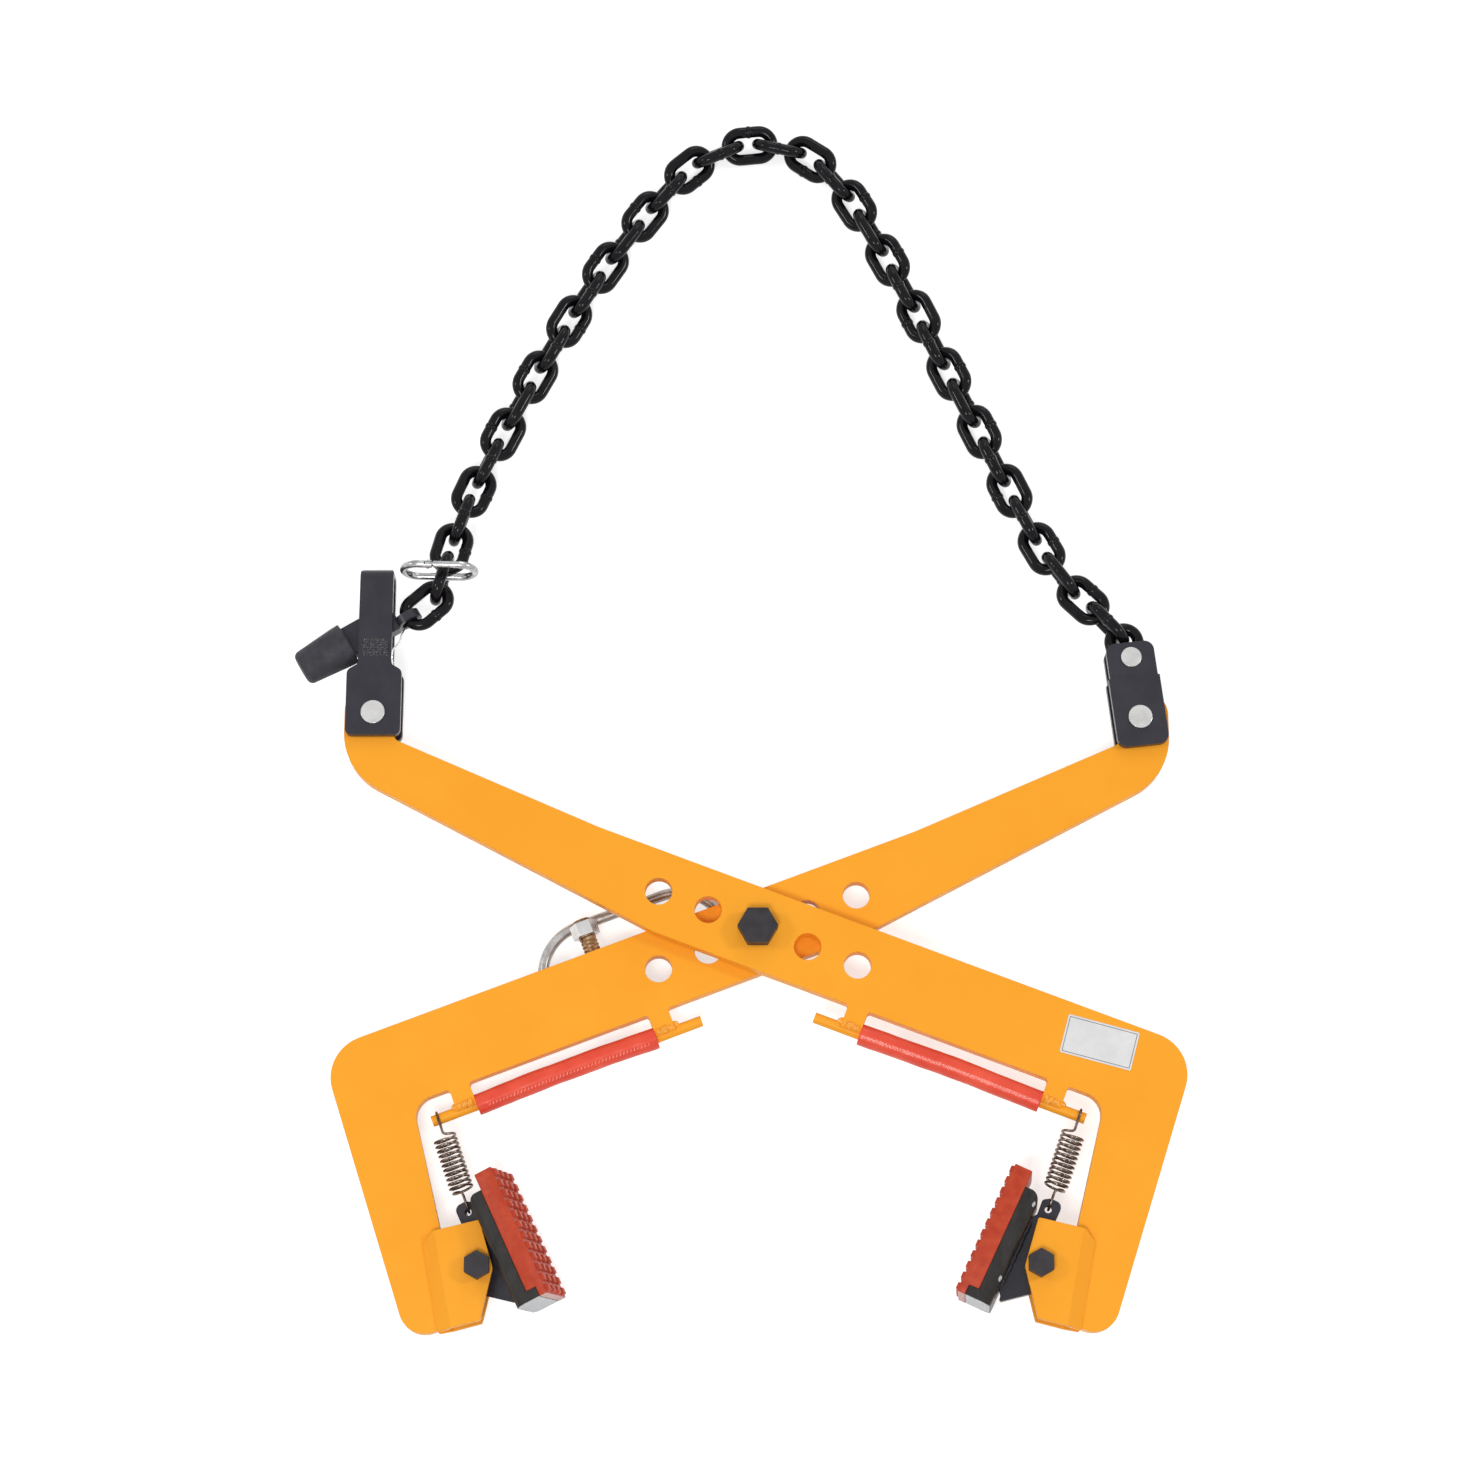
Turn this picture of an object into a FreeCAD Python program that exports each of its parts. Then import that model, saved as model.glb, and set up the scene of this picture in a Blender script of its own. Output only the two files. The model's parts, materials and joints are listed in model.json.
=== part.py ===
import FreeCAD, Part
import math
import os

# Lifting tongs lying flat: X across the jaws, Y from the jaws to the chain's top, Z up.
# While the pieces are made, X = Y = 0 is the pivot bolt's axis and Z = 0 is the floor.

# Arms, in arm coordinates: u along the row of holes towards the leg, v square to it
ARM_THICKNESS = 14.0
ARM_SLOPE = 20.85
ARM_WIDTH = 74.0
HOLE_PITCH = 48.5
HOLE_DIAMETER = 25.0
HOLES_EACH_SIDE = 2
ARM_REACH = 410.0
LEG_DROP = 212.0
LEG_END_RADIUS = 25.0
LEG_TOP_WIDTH = 66.0
LEG_TAPER = 4.0
LEG_SPLAY = 13.0
OUTER_CORNER_RADIUS = 38.0
INNER_CORNER_RADIUS = 24.0
EYE_U = -405.0
EYE_V = 63.0
EYE_RADIUS = 27.0
EYE_PIN_DIAMETER = 22.0
SHOULDER_OUT = 19.0
SHOULDER_RADIUS = 8.0
HEEL_RADIUS = 60.0
HEEL_DROP = 53.5
NECK_BEND_U = -88.0
NECK_UPPER_U = -170.0
NECK_RISE = 12.0
NECK_UNDER_RADIUS = 120.0
NECK_UPPER_RADIUS = 200.0
REAR_ARM_Z = 31.0

# Pivot
PIVOT_DIAMETER = 22.0
PIVOT_HEX = 32.0
PIVOT_HEAD = 14.0
PIVOT_NUT = 12.0
PIVOT_TAIL = 2.5
PIVOT_WASHER_DIAMETER = 50.0
PIVOT_WASHER = 1.5

# Handles
ROD_DIAMETER = 10.0
ROD_DROP = 21.0
ROD_INNER_OVERHANG = 25.0
ROD_OUTER_OVERHANG = 24.0
TAB_WIDTH = 19.0
TAB_TO_LEG = 35.0
TAB_CORNER_RADIUS = 3.0
GRIP_LENGTH = 173.0
GRIP_DIAMETER = 20.0

# Jaws, in jaw coordinates: x towards the load, y up along the pad, from the jaw bolt
JAW_BOLT_INSET = 67.5
JAW_BOLT_ABOVE_END = 15.0
JAW_BOLT_DIAMETER = 14.0
JAW_HEX = 22.0
JAW_HEAD = 10.0
JAW_NUT = 10.0
JAW_BOLT_TAIL = 2.5
JAW_LEAN = 25.5
LEFT_JAW_ROCK = 14.0
RIGHT_JAW_ROCK = -4.0
CHEEK_THICKNESS = 6.0
CHEEK_JOGGLE = 3.5
CHEEK_REACH = 14.0
CHEEK_TOP = 41.0
CHEEK_BOTTOM = 48.0
CHEEK_FALL = 10.0
CHEEK_CHAMFER = 11.0
CHEEK_BEND = 32.0
CHEEK_BEND_LEAN = 11.0
CHEEK_RAMP = 14.0
CHEEK_TOE = 0.8
BAR_BACK = 23.4
BAR_THICKNESS = 15.0
BAR_TOP = 55.0
BAR_BOTTOM = 54.0
BAR_EDGE_RADIUS = 8.0
TOE_LENGTH = 9.4
TOE_HEIGHT = 9.0
PAD_WIDTH = 60.0
PAD_THICKNESS = 16.4
PAD_TOP = 70.0
PAD_BOTTOM = 54.5
NUB_HEIGHT = 2.8
NUB_LENGTH = 7.4
NUB_WIDTH = 8.0
NUB_ROWS = 12
NUB_COLUMNS = 4
LUG_THICKNESS = 8.0
LUG_HOLE = 20.0
LUG_BOSS_RADIUS = 16.0
EAR_X = 13.2
EAR_Y = 48.6
EAR_RADIUS = 10.0
EAR_HOLE = 6.5

# Springs
SPRING_WIRE = 2.4
SPRING_MEAN_RADIUS = 10.0
SPRING_TURNS = 12
SPRING_LEAD_IN = 17.0
SPRING_LEAD_OUT = 19.0
SPRING_HOOK_FROM_ROD_END = 6.0
SHANK_TURN = 4.0

# Stirrup on the front arm's eye
STRAP_THICKNESS = 7.0
STRAP_WIDTH = 31.0
BOW_CORNER = 5.0
STIRRUP_WIDTH = 51.0
STIRRUP_BELOW_PIN = 21.5
STIRRUP_SHOULDER = 41.0
STIRRUP_SEAM = 62.0
STIRRUP_TOP = 142.0
TOGGLE_HEIGHT = 87.0
TOGGLE_SLOPE = 31.0
TOGGLE_WIDTH = 28.0
TOGGLE_LEFT = 75.0
TOGGLE_RIGHT = 20.0
TOGGLE_EYE_AT = 28.5
TOGGLE_EYE_DROP = 8.0
TOGGLE_EYE_RADIUS = 13.0
TOGGLE_EYE_HOLE = 15.8
TOGGLE_EYE_THICKNESS = 8.2
SLEEVE_DIAMETER = 33.5
SLEEVE_MOUTH_DIAMETER = 41.5
SLEEVE_LENGTH = 50.0
SLEEVE_END_WALL = 6.0

# Link on the rear arm's eye
LINK_PITCH = 58.7
LINK_LEAN = 6.5
LINK_THICKNESS = 7.0
LINK_WIDTH = 48.0
LINK_TOP_WIDTH = 45.0
LINK_BELOW = 27.0
LINK_ABOVE = 15.0
LINK_CORNER = 9.0
LINK_STEP_AT = 39.5
LINK_STEP = 1.2
SPACER_START = 28.5
SPACER_HEIGHT = 9.0
CHAIN_PIN_DIAMETER = 12.0
CHAIN_PIN_HEAD = 19.0
PIN_PROUD = 2.0

# Chain: route points (x, y, height) from the toggle's eye over the apex to the link's chain pin
CHAIN_WIRE = 11.0
CHAIN_PITCH = 33.63
CHAIN_INNER_WIDTH = 15.3
CHAIN_SLACK = 0.9
CHAIN_ROLL = 25.5
CHAIN_TWIST_LINKS = 8
APEX_CLEARANCE = 2.9
CHAIN_HALF_PITCH_WIDTH = (CHAIN_INNER_WIDTH + CHAIN_WIRE) / 2.0
CHAIN_FLOOR_Z = CHAIN_HALF_PITCH_WIDTH * math.cos(math.radians(CHAIN_ROLL)) + CHAIN_WIRE / 2.0
CHAIN_ROUTE = [
    (-300, 317, 46), (-292, 359, 40), (-284, 393, 31), (-274, 425, 24), (-261, 457, 19),
    (-238, 507, CHAIN_FLOOR_Z), (-207, 566, CHAIN_FLOOR_Z), (-175, 624, CHAIN_FLOOR_Z),
    (-141, 678, CHAIN_FLOOR_Z), (-106, 726, CHAIN_FLOOR_Z), (-86, 752, CHAIN_FLOOR_Z),
    (-63, 776, CHAIN_FLOOR_Z), (-34, 793, CHAIN_FLOOR_Z), (-2, 800, CHAIN_FLOOR_Z),
    (31, 796, CHAIN_FLOOR_Z), (60, 780, CHAIN_FLOOR_Z), (83, 756, CHAIN_FLOOR_Z),
    (115, 700, CHAIN_FLOOR_Z), (148, 636, CHAIN_FLOOR_Z), (174, 580, CHAIN_FLOOR_Z),
    (200, 526, CHAIN_FLOOR_Z), (226, 470, CHAIN_FLOOR_Z), (247, 424, CHAIN_FLOOR_Z),
    (264, 389, 19), (281, 357, 22), (299, 331, 26), (320, 311, 29), (348, 280, 31),
]

# Snap hook round a chain link, standing on edge
SNAP_LENGTH = 74.0
SNAP_WIDTH = 36.0
SNAP_WIRE = 7.0
SNAP_TILT = 5.0
SNAP_LEVEL = 13.0
SNAP_OFFSET = -2.0
SNAP_ADVANCE = 1.6
SNAP_GATE_LENGTH = 25.0
SNAP_RIVET = 3.0
SNAP_HINGE_GAP = 1.6

# Hold ring, its block and the stud on the rear arm, in arm coordinates
RING_WIRE = 10.0
RING_RADIUS = 46.0
RING_OUTER_U = 153.0
RING_INNER_U = 69.0
RING_V = 23.5
RING_Z = 9.5
BLOCK_U = 131.0
BLOCK_LENGTH = 34.0
BLOCK_WIDTH = 20.0
BLOCK_WALL = 4.5
STUD_U = 147.0
STUD_DROP = 4.2
STUD_DIAMETER = 16.0
STUD_HEIGHT = 33.0
STUD_NUT_AT = 17.0
STUD_NUT = 13.0
STUD_THREADS = 9

# Sticker on the front arm
STICKER_LENGTH = 66.0
STICKER_HEIGHT = 36.0
STICKER_THICKNESS = 0.6
STICKER_INSET = 84.0
STICKER_V = 11.0
STICKER_TURN = 5.5
STICKER_CORNER_RADIUS = 1.5

# Clearances
SHAFT_CLEARANCE = 0.05
SIDE_CLEARANCE = 0.5
SEAT_CLEARANCE = 0.3

FRONT_ARM_Z = REAR_ARM_Z + ARM_THICKNESS + PIVOT_WASHER
LEG_INNER_U = ARM_REACH - LEG_TOP_WIDTH + LEG_TAPER
TAB_START_U = LEG_INNER_U - TAB_TO_LEG - 2.0 * TAB_WIDTH - GRIP_LENGTH
ROD_START_U = TAB_START_U - ROD_INNER_OVERHANG
ROD_END_U = LEG_INNER_U - TAB_TO_LEG + ROD_OUTER_OVERHANG
JAW_BOLT_U = ARM_REACH - JAW_BOLT_INSET
JAW_BOLT_V = JAW_BOLT_ABOVE_END - LEG_DROP
STICKER_U = ARM_REACH - STICKER_INSET
UP = FreeCAD.Vector(0, 0, 1)


def vec(x, y, z=0.0):
    return FreeCAD.Vector(x, y, z)


def turned(x, y, degrees):
    """Point (x, y) turned about the origin."""
    angle = math.radians(degrees)
    return (x * math.cos(angle) - y * math.sin(angle), x * math.sin(angle) + y * math.cos(angle))


def arm_point(u, v):
    """Arm coordinates to X and Y, on the front arm."""
    return turned(u, v, -ARM_SLOPE)


def rounded_wire(corners, z):
    """Closed outline through (x, y, radius) corners; each corner's arc is limited by its two sides."""
    count = len(corners)
    joints = []
    for index in range(count):
        here = vec(corners[index][0], corners[index][1], z)
        before = vec(corners[index - 1][0], corners[index - 1][1], z)
        after = vec(corners[(index + 1) % count][0], corners[(index + 1) % count][1], z)
        back = before - here
        ahead = after - here
        half = back.getAngle(ahead) / 2.0
        room = 0.49 * min(back.Length, ahead.Length)
        setback = min(corners[index][2] / math.tan(half), room)
        back.normalize()
        ahead.normalize()
        if setback < 0.01 or abs(half - math.pi / 2) < 0.005:
            joints.append((here, None, here))
            continue
        middle_way = back + ahead
        middle_way.normalize()
        radius = setback * math.tan(half)
        centre = here + middle_way * (setback / math.cos(half))
        joints.append((here + back * setback, centre - middle_way * radius, here + ahead * setback))
    edges = []
    for index in range(count):
        start, middle, end = joints[index]
        if middle is not None:
            edges.append(Part.Arc(start, middle, end).toShape())
        following = joints[(index + 1) % count][0]
        if end.distanceToPoint(following) > 0.001:
            edges.append(Part.makeLine(end, following))
    return Part.Wire(edges)


def plate(corners, bottom, top):
    """Flat plate between two heights, from (x, y, corner radius) points."""
    return Part.Face(rounded_wire(corners, bottom)).extrude(vec(0, 0, top - bottom))


def round_bar(x, y, bottom, top, diameter):
    return Part.makeCylinder(diameter / 2.0, top - bottom, vec(x, y, bottom))


def hexagon(x, y, bottom, top, across_flats, turn):
    """Hex prism whose first corner points along turn degrees."""
    radius = across_flats / math.sqrt(3.0)
    points = []
    for index in range(7):
        angle = math.radians(turn + 60 * index)
        points.append(vec(x + radius * math.cos(angle), y + radius * math.sin(angle), bottom))
    prism = Part.Face(Part.makePolygon(points)).extrude(vec(0, 0, top - bottom))
    cone_height = across_flats
    cone = Part.makeCone(radius + cone_height * 1.4, radius - 0.5, cone_height, vec(x, y, top - cone_height))
    return prism.common(cone)


def swept(path, radius):
    """Round wire swept along a path of tangent lines and arcs."""
    first = path.OrderedEdges[0]
    start = first.valueAt(first.FirstParameter)
    heading = first.tangentAt(first.FirstParameter)
    section = Part.Wire(Part.makeCircle(radius, start, heading))
    return path.makePipeShell([section], True, False)


def biarc(start, start_way, end, end_way):
    """Two tangent arcs from one point and heading to another."""
    chord = end - start
    ways = start_way + end_way
    spread = 2.0 * (1.0 - start_way.dot(end_way))
    along = chord.dot(ways)
    if spread < 1e-6:
        return [Part.makeLine(start, end)]
    reach = (-along + math.sqrt(along * along + spread * chord.dot(chord))) / spread
    middle = (start + end + (start_way - end_way) * reach) * 0.5
    return [tangent_arc(start, start_way, middle), tangent_arc(end, end_way * -1.0, middle, True)]


def tangent_arc(start, way, end, flipped=False):
    """Arc that leaves start along way and reaches end; flipped runs it from end to start."""
    chord = end - start
    side = chord - way * chord.dot(way)
    if side.Length < 1e-7:
        return Part.makeLine(end, start) if flipped else Part.makeLine(start, end)
    side.normalize()
    radius = chord.dot(chord) / (2.0 * chord.dot(side))
    centre = start + side * radius
    halfway = (start + end) * 0.5 - centre
    if chord.dot(way) < 0:
        halfway = halfway * -1.0
    halfway.normalize()
    middle = centre + halfway * radius
    if flipped:
        return Part.Arc(end, middle, start).toShape()
    return Part.Arc(start, middle, end).toShape()


def mirrored(shape):
    """A front arm piece turned into its rear arm twin."""
    twin = shape.mirror(vec(0, 0, 0), vec(1, 0, 0))
    twin.translate(vec(0, 0, REAR_ARM_Z - FRONT_ARM_Z))
    return twin


# Arm plate


def arm_corners():
    """Outline of the front arm with its tabs, as (x, y, radius) corners."""
    half = ARM_WIDTH / 2.0
    eye_x, eye_y = arm_point(EYE_U, EYE_V)
    neck_x, neck_y = arm_point(NECK_UPPER_U, half)
    under_x, under_y = arm_point(NECK_BEND_U, -half)
    heel_x = eye_x - EYE_RADIUS
    heel_y = eye_y - HEEL_DROP
    shoulder_x = eye_x + SHOULDER_OUT
    rise_x, rise_y = arm_point(EYE_U, half + NECK_RISE)
    slope = (rise_y - neck_y) / (rise_x - neck_x)
    corners = [
        (heel_x, eye_y + EYE_RADIUS, EYE_RADIUS),
        (heel_x, heel_y, HEEL_RADIUS),
        (under_x, under_y, NECK_UNDER_RADIUS),
    ]
    for tab in range(2):
        start = TAB_START_U + tab * (TAB_WIDTH + GRIP_LENGTH)
        for u, v, radius in (
            (start, -half, TAB_CORNER_RADIUS),
            (start, -half - ROD_DROP, 0.0),
            (start + TAB_WIDTH, -half - ROD_DROP, 0.0),
            (start + TAB_WIDTH, -half, TAB_CORNER_RADIUS),
        ):
            corners.append(arm_point(u, v) + (radius,))
    leg_end_inner = ARM_REACH + LEG_SPLAY - 2.0 * LEG_END_RADIUS
    for u, v, radius in (
        (LEG_INNER_U, -half, INNER_CORNER_RADIUS),
        (leg_end_inner, -LEG_DROP - LEG_END_RADIUS, LEG_END_RADIUS),
        (leg_end_inner + 2.0 * LEG_END_RADIUS, -LEG_DROP - LEG_END_RADIUS, LEG_END_RADIUS),
        (ARM_REACH, half, OUTER_CORNER_RADIUS),
        (NECK_UPPER_U, half, NECK_UPPER_RADIUS),
    ):
        corners.append(arm_point(u, v) + (radius,))
    corners.append((shoulder_x, neck_y + slope * (shoulder_x - neck_x), SHOULDER_RADIUS))
    corners.append((shoulder_x, eye_y + EYE_RADIUS, SHOULDER_OUT))
    return corners


def arm_plate():
    bottom = FRONT_ARM_Z - ARM_THICKNESS / 2.0
    top = FRONT_ARM_Z + ARM_THICKNESS / 2.0
    shape = plate(arm_corners(), bottom, top)
    for index in range(-HOLES_EACH_SIDE, HOLES_EACH_SIDE + 1):
        x, y = arm_point(HOLE_PITCH * index, 0)
        bore = HOLE_DIAMETER if index else PIVOT_DIAMETER + 2.0 * SHAFT_CLEARANCE
        shape = shape.cut(round_bar(x, y, bottom - 1, top + 1, bore))
    x, y = arm_point(EYE_U, EYE_V)
    shape = shape.cut(round_bar(x, y, bottom - 1, top + 1, EYE_PIN_DIAMETER + 2.0 * SHAFT_CLEARANCE))
    return shape.cut(rod_solid(SHAFT_CLEARANCE))


# Handle rod and grip


def rod_line(start_u, end_u, diameter):
    v = -ARM_WIDTH / 2.0 - ROD_DROP
    x, y = arm_point(start_u, v)
    way = vec(*arm_point(1, 0))
    return Part.makeCylinder(diameter / 2.0, end_u - start_u, vec(x, y, FRONT_ARM_Z), way)


def rod_solid(gap=0.0):
    return rod_line(ROD_START_U, ROD_END_U, ROD_DIAMETER + 2.0 * gap)


def grip_solid():
    start = TAB_START_U + TAB_WIDTH
    end = start + GRIP_LENGTH
    hose = rod_line(start, end, GRIP_DIAMETER)
    return hose.cut(rod_line(start - 1, end + 1, ROD_DIAMETER + 2.0 * SHAFT_CLEARANCE))


# Fork cheeks


def fork_half_gap():
    return ARM_THICKNESS / 2.0 + CHEEK_JOGGLE


def cheek_solid(side):
    """Joggled cheek on one face of the leg: raised over the fork, ramped down to the arm's face."""
    x, y = arm_point(JAW_BOLT_U, JAW_BOLT_V)
    lean = math.tan(math.radians(CHEEK_BEND_LEAN))
    edge = x + CHEEK_BEND + CHEEK_RAMP
    fall = CHEEK_TOP - CHEEK_FALL
    chamfer = fall - CHEEK_CHAMFER
    foot = -CHEEK_BOTTOM - CHEEK_FALL
    corners = [
        (x - 1.0, y + CHEEK_TOP, 2.0),
        (edge + fall * lean - CHEEK_CHAMFER, y + fall, 3.0),
        (edge + chamfer * lean, y + chamfer, 4.0),
        (edge + foot * lean, y + foot, 2.0),
        (x - 3.6, y - CHEEK_BOTTOM, 2.0),
        (x - CHEEK_REACH, y - 2.0, 6.0),
    ]
    face = ARM_THICKNESS / 2.0
    raised = fork_half_gap()
    past = raised + 2.0 * CHEEK_THICKNESS
    outline = plate(corners, -past, past)
    far = 2.0 * (CHEEK_TOP + CHEEK_BOTTOM)
    past_edge = CHEEK_RAMP + CHEEK_THICKNESS
    section = [
        (-far, raised), (0, raised), (CHEEK_JOGGLE, face), (past_edge, face), (past_edge, face + CHEEK_TOE),
        (CHEEK_RAMP, face + CHEEK_TOE), (1, raised + CHEEK_THICKNESS), (-far, raised + CHEEK_THICKNESS),
    ]
    bend_way = vec(*turned(1, 0, -CHEEK_BEND_LEAN))
    bend_x = x + CHEEK_BEND
    points = []
    for along, height in section + section[:1]:
        spot = vec(bend_x, y, 0) + bend_way * along + UP * (side * height)
        points.append(spot)
    length = vec(*turned(0, 1, -CHEEK_BEND_LEAN)) * (2.0 * far)
    joggle = Part.Face(Part.makePolygon(points)).extrude(length)
    joggle.translate(length * -0.5)
    cheek = joggle.common(outline)
    cheek.translate(vec(0, 0, FRONT_ARM_Z))
    bore = JAW_BOLT_DIAMETER + 2.0 * SHAFT_CLEARANCE
    return cheek.cut(round_bar(x, y, FRONT_ARM_Z - past, FRONT_ARM_Z + past, bore))


# Jaw bolt and nut


def jaw_bolt():
    x, y = arm_point(JAW_BOLT_U, JAW_BOLT_V)
    outer = fork_half_gap() + CHEEK_THICKNESS
    top = FRONT_ARM_Z + outer
    bottom = FRONT_ARM_Z - outer - JAW_NUT - JAW_BOLT_TAIL
    shank = round_bar(x, y, bottom, top, JAW_BOLT_DIAMETER)
    return shank.fuse(hexagon(x, y, top, top + JAW_HEAD, JAW_HEX, 90)).removeSplitter()


def jaw_nut():
    x, y = arm_point(JAW_BOLT_U, JAW_BOLT_V)
    top = FRONT_ARM_Z - fork_half_gap() - CHEEK_THICKNESS
    nut = hexagon(x, y, top - JAW_NUT, top, JAW_HEX, 90)
    return nut.cut(round_bar(x, y, top - JAW_NUT - 1, top + 1, JAW_BOLT_DIAMETER + 2.0 * SHAFT_CLEARANCE))


# Jaw: bar, lug and pad in jaw coordinates


def jaw_bar():
    front = BAR_BACK + BAR_THICKNESS
    section = [
        (BAR_BACK, -PAD_WIDTH / 2.0, BAR_EDGE_RADIUS), (front, -PAD_WIDTH / 2.0, 1.0),
        (front, PAD_WIDTH / 2.0, 1.0), (BAR_BACK, PAD_WIDTH / 2.0, BAR_EDGE_RADIUS),
    ]
    beam = plate(section, -BAR_BOTTOM, BAR_TOP)
    toe_section = [
        (front - 1.0, -PAD_WIDTH / 2.0, 0.0), (front + TOE_LENGTH, -PAD_WIDTH / 2.0, 1.0),
        (front + TOE_LENGTH, PAD_WIDTH / 2.0, 1.0), (front - 1.0, PAD_WIDTH / 2.0, 0.0),
    ]
    toe = plate(toe_section, -BAR_BOTTOM, -BAR_BOTTOM + TOE_HEIGHT)
    bar = beam.fuse(toe).removeSplitter()
    bar.rotate(vec(0, 0, 0), vec(1, 0, 0), -90)
    crown = [
        (BAR_BACK - 1, -BAR_BOTTOM - 1, 0.0), (front + TOE_LENGTH + 1, -BAR_BOTTOM - 1, 0.0),
        (front + TOE_LENGTH + 1, BAR_TOP, 0.0), (BAR_BACK, BAR_TOP, 9.0), (BAR_BACK, 0.0, 0.0),
        (BAR_BACK - 1, 0.0, 0.0),
    ]
    return bar.common(plate(crown, -PAD_WIDTH, PAD_WIDTH))


def jaw_lug():
    back = BAR_BACK
    foot = -BAR_BOTTOM + 9.0
    corners = [
        (back, EAR_Y - 12.0, 0.0),
        (back - 3.0, EAR_Y - 8.0, 2.0),
        (back - 2.0, EAR_Y + EAR_RADIUS - 4.0, 3.0),
        (EAR_X + 2.0, EAR_Y + EAR_RADIUS, EAR_RADIUS * 0.7),
        (EAR_X - EAR_RADIUS, EAR_Y + EAR_RADIUS, EAR_RADIUS),
        (EAR_X - EAR_RADIUS, EAR_Y - EAR_RADIUS, 12.0),
        (-LUG_BOSS_RADIUS, LUG_BOSS_RADIUS, LUG_BOSS_RADIUS),
        (-LUG_BOSS_RADIUS, -LUG_BOSS_RADIUS, LUG_BOSS_RADIUS),
        (back - 4.0, foot, 2.0),
        (back - 3.0, foot + 6.0, 2.0),
        (back, foot + 10.0, 0.0),
    ]
    half = LUG_THICKNESS / 2.0
    lug = plate(corners, -half, half)
    lug = lug.cut(round_bar(0, 0, -half - 1, half + 1, LUG_HOLE))
    return lug.cut(round_bar(EAR_X, EAR_Y, -half - 1, half + 1, EAR_HOLE))


def jaw_pad():
    """Rubber pad with a rebate over the bar's toe and rows of tapered nubs on its face."""
    back = BAR_BACK + BAR_THICKNESS
    face = back + PAD_THICKNESS
    rebate = -BAR_BOTTOM + TOE_HEIGHT
    corners = [
        (back, PAD_TOP, 0.8), (face, PAD_TOP, 0.8), (face, -PAD_BOTTOM, 0.8),
        (back + TOE_LENGTH, -PAD_BOTTOM, 0.8), (back + TOE_LENGTH, rebate, 0.0), (back, rebate, 0.0),
    ]
    half = PAD_WIDTH / 2.0
    pad = plate(corners, -half, half)
    row_pitch = (PAD_TOP + PAD_BOTTOM) / NUB_ROWS
    column_pitch = PAD_WIDTH / NUB_COLUMNS
    nubs = []
    for row in range(NUB_ROWS):
        y = PAD_TOP - row_pitch * (row + 0.5)
        for column in range(NUB_COLUMNS):
            z = -half + column_pitch * (column + 0.5)
            nubs.append(nub_solid(face, y, z))
    return pad.fuse(nubs)


def nub_solid(face, y, z):
    """Small rubber block, leaning in towards its tip."""
    taper = 0.75
    tip = face + NUB_HEIGHT
    base = Part.makePolygon([
        vec(face - 0.5, y - NUB_LENGTH / 2.0, z - NUB_WIDTH / 2.0),
        vec(face - 0.5, y + NUB_LENGTH / 2.0, z - NUB_WIDTH / 2.0),
        vec(face - 0.5, y + NUB_LENGTH / 2.0, z + NUB_WIDTH / 2.0),
        vec(face - 0.5, y - NUB_LENGTH / 2.0, z + NUB_WIDTH / 2.0),
        vec(face - 0.5, y - NUB_LENGTH / 2.0, z - NUB_WIDTH / 2.0),
    ])
    crest = Part.makePolygon([
        vec(tip, y - NUB_LENGTH / 2.0 * taper, z - NUB_WIDTH / 2.0 * taper),
        vec(tip, y + NUB_LENGTH / 2.0 * taper, z - NUB_WIDTH / 2.0 * taper),
        vec(tip, y + NUB_LENGTH / 2.0 * taper, z + NUB_WIDTH / 2.0 * taper),
        vec(tip, y - NUB_LENGTH / 2.0 * taper, z + NUB_WIDTH / 2.0 * taper),
        vec(tip, y - NUB_LENGTH / 2.0 * taper, z - NUB_WIDTH / 2.0 * taper),
    ])
    return Part.makeLoft([base, crest], True, True)


def place_jaw(shape, rock):
    """Jaw coordinates to the front arm's fork, rocked about the line from bolt to spring ear."""
    placed = shape.copy()
    placed.rotate(vec(0, 0, 0), vec(EAR_X, EAR_Y, 0), -rock)
    placed = placed.mirror(vec(0, 0, 0), vec(1, 0, 0))
    placed.rotate(vec(0, 0, 0), UP, -JAW_LEAN)
    x, y = arm_point(JAW_BOLT_U, JAW_BOLT_V)
    placed.translate(vec(x, y, FRONT_ARM_Z))
    return placed


# Extension spring from the rod's end to the jaw's ear


def spring_ends():
    v = -ARM_WIDTH / 2.0 - ROD_DROP
    top_x, top_y = arm_point(ROD_END_U - SPRING_HOOK_FROM_ROD_END, v)
    x, y = arm_point(JAW_BOLT_U, JAW_BOLT_V)
    ear = turned(-EAR_X, EAR_Y, -JAW_LEAN)
    return vec(top_x, top_y, FRONT_ARM_Z), vec(x + ear[0], y + ear[1], FRONT_ARM_Z)


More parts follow.
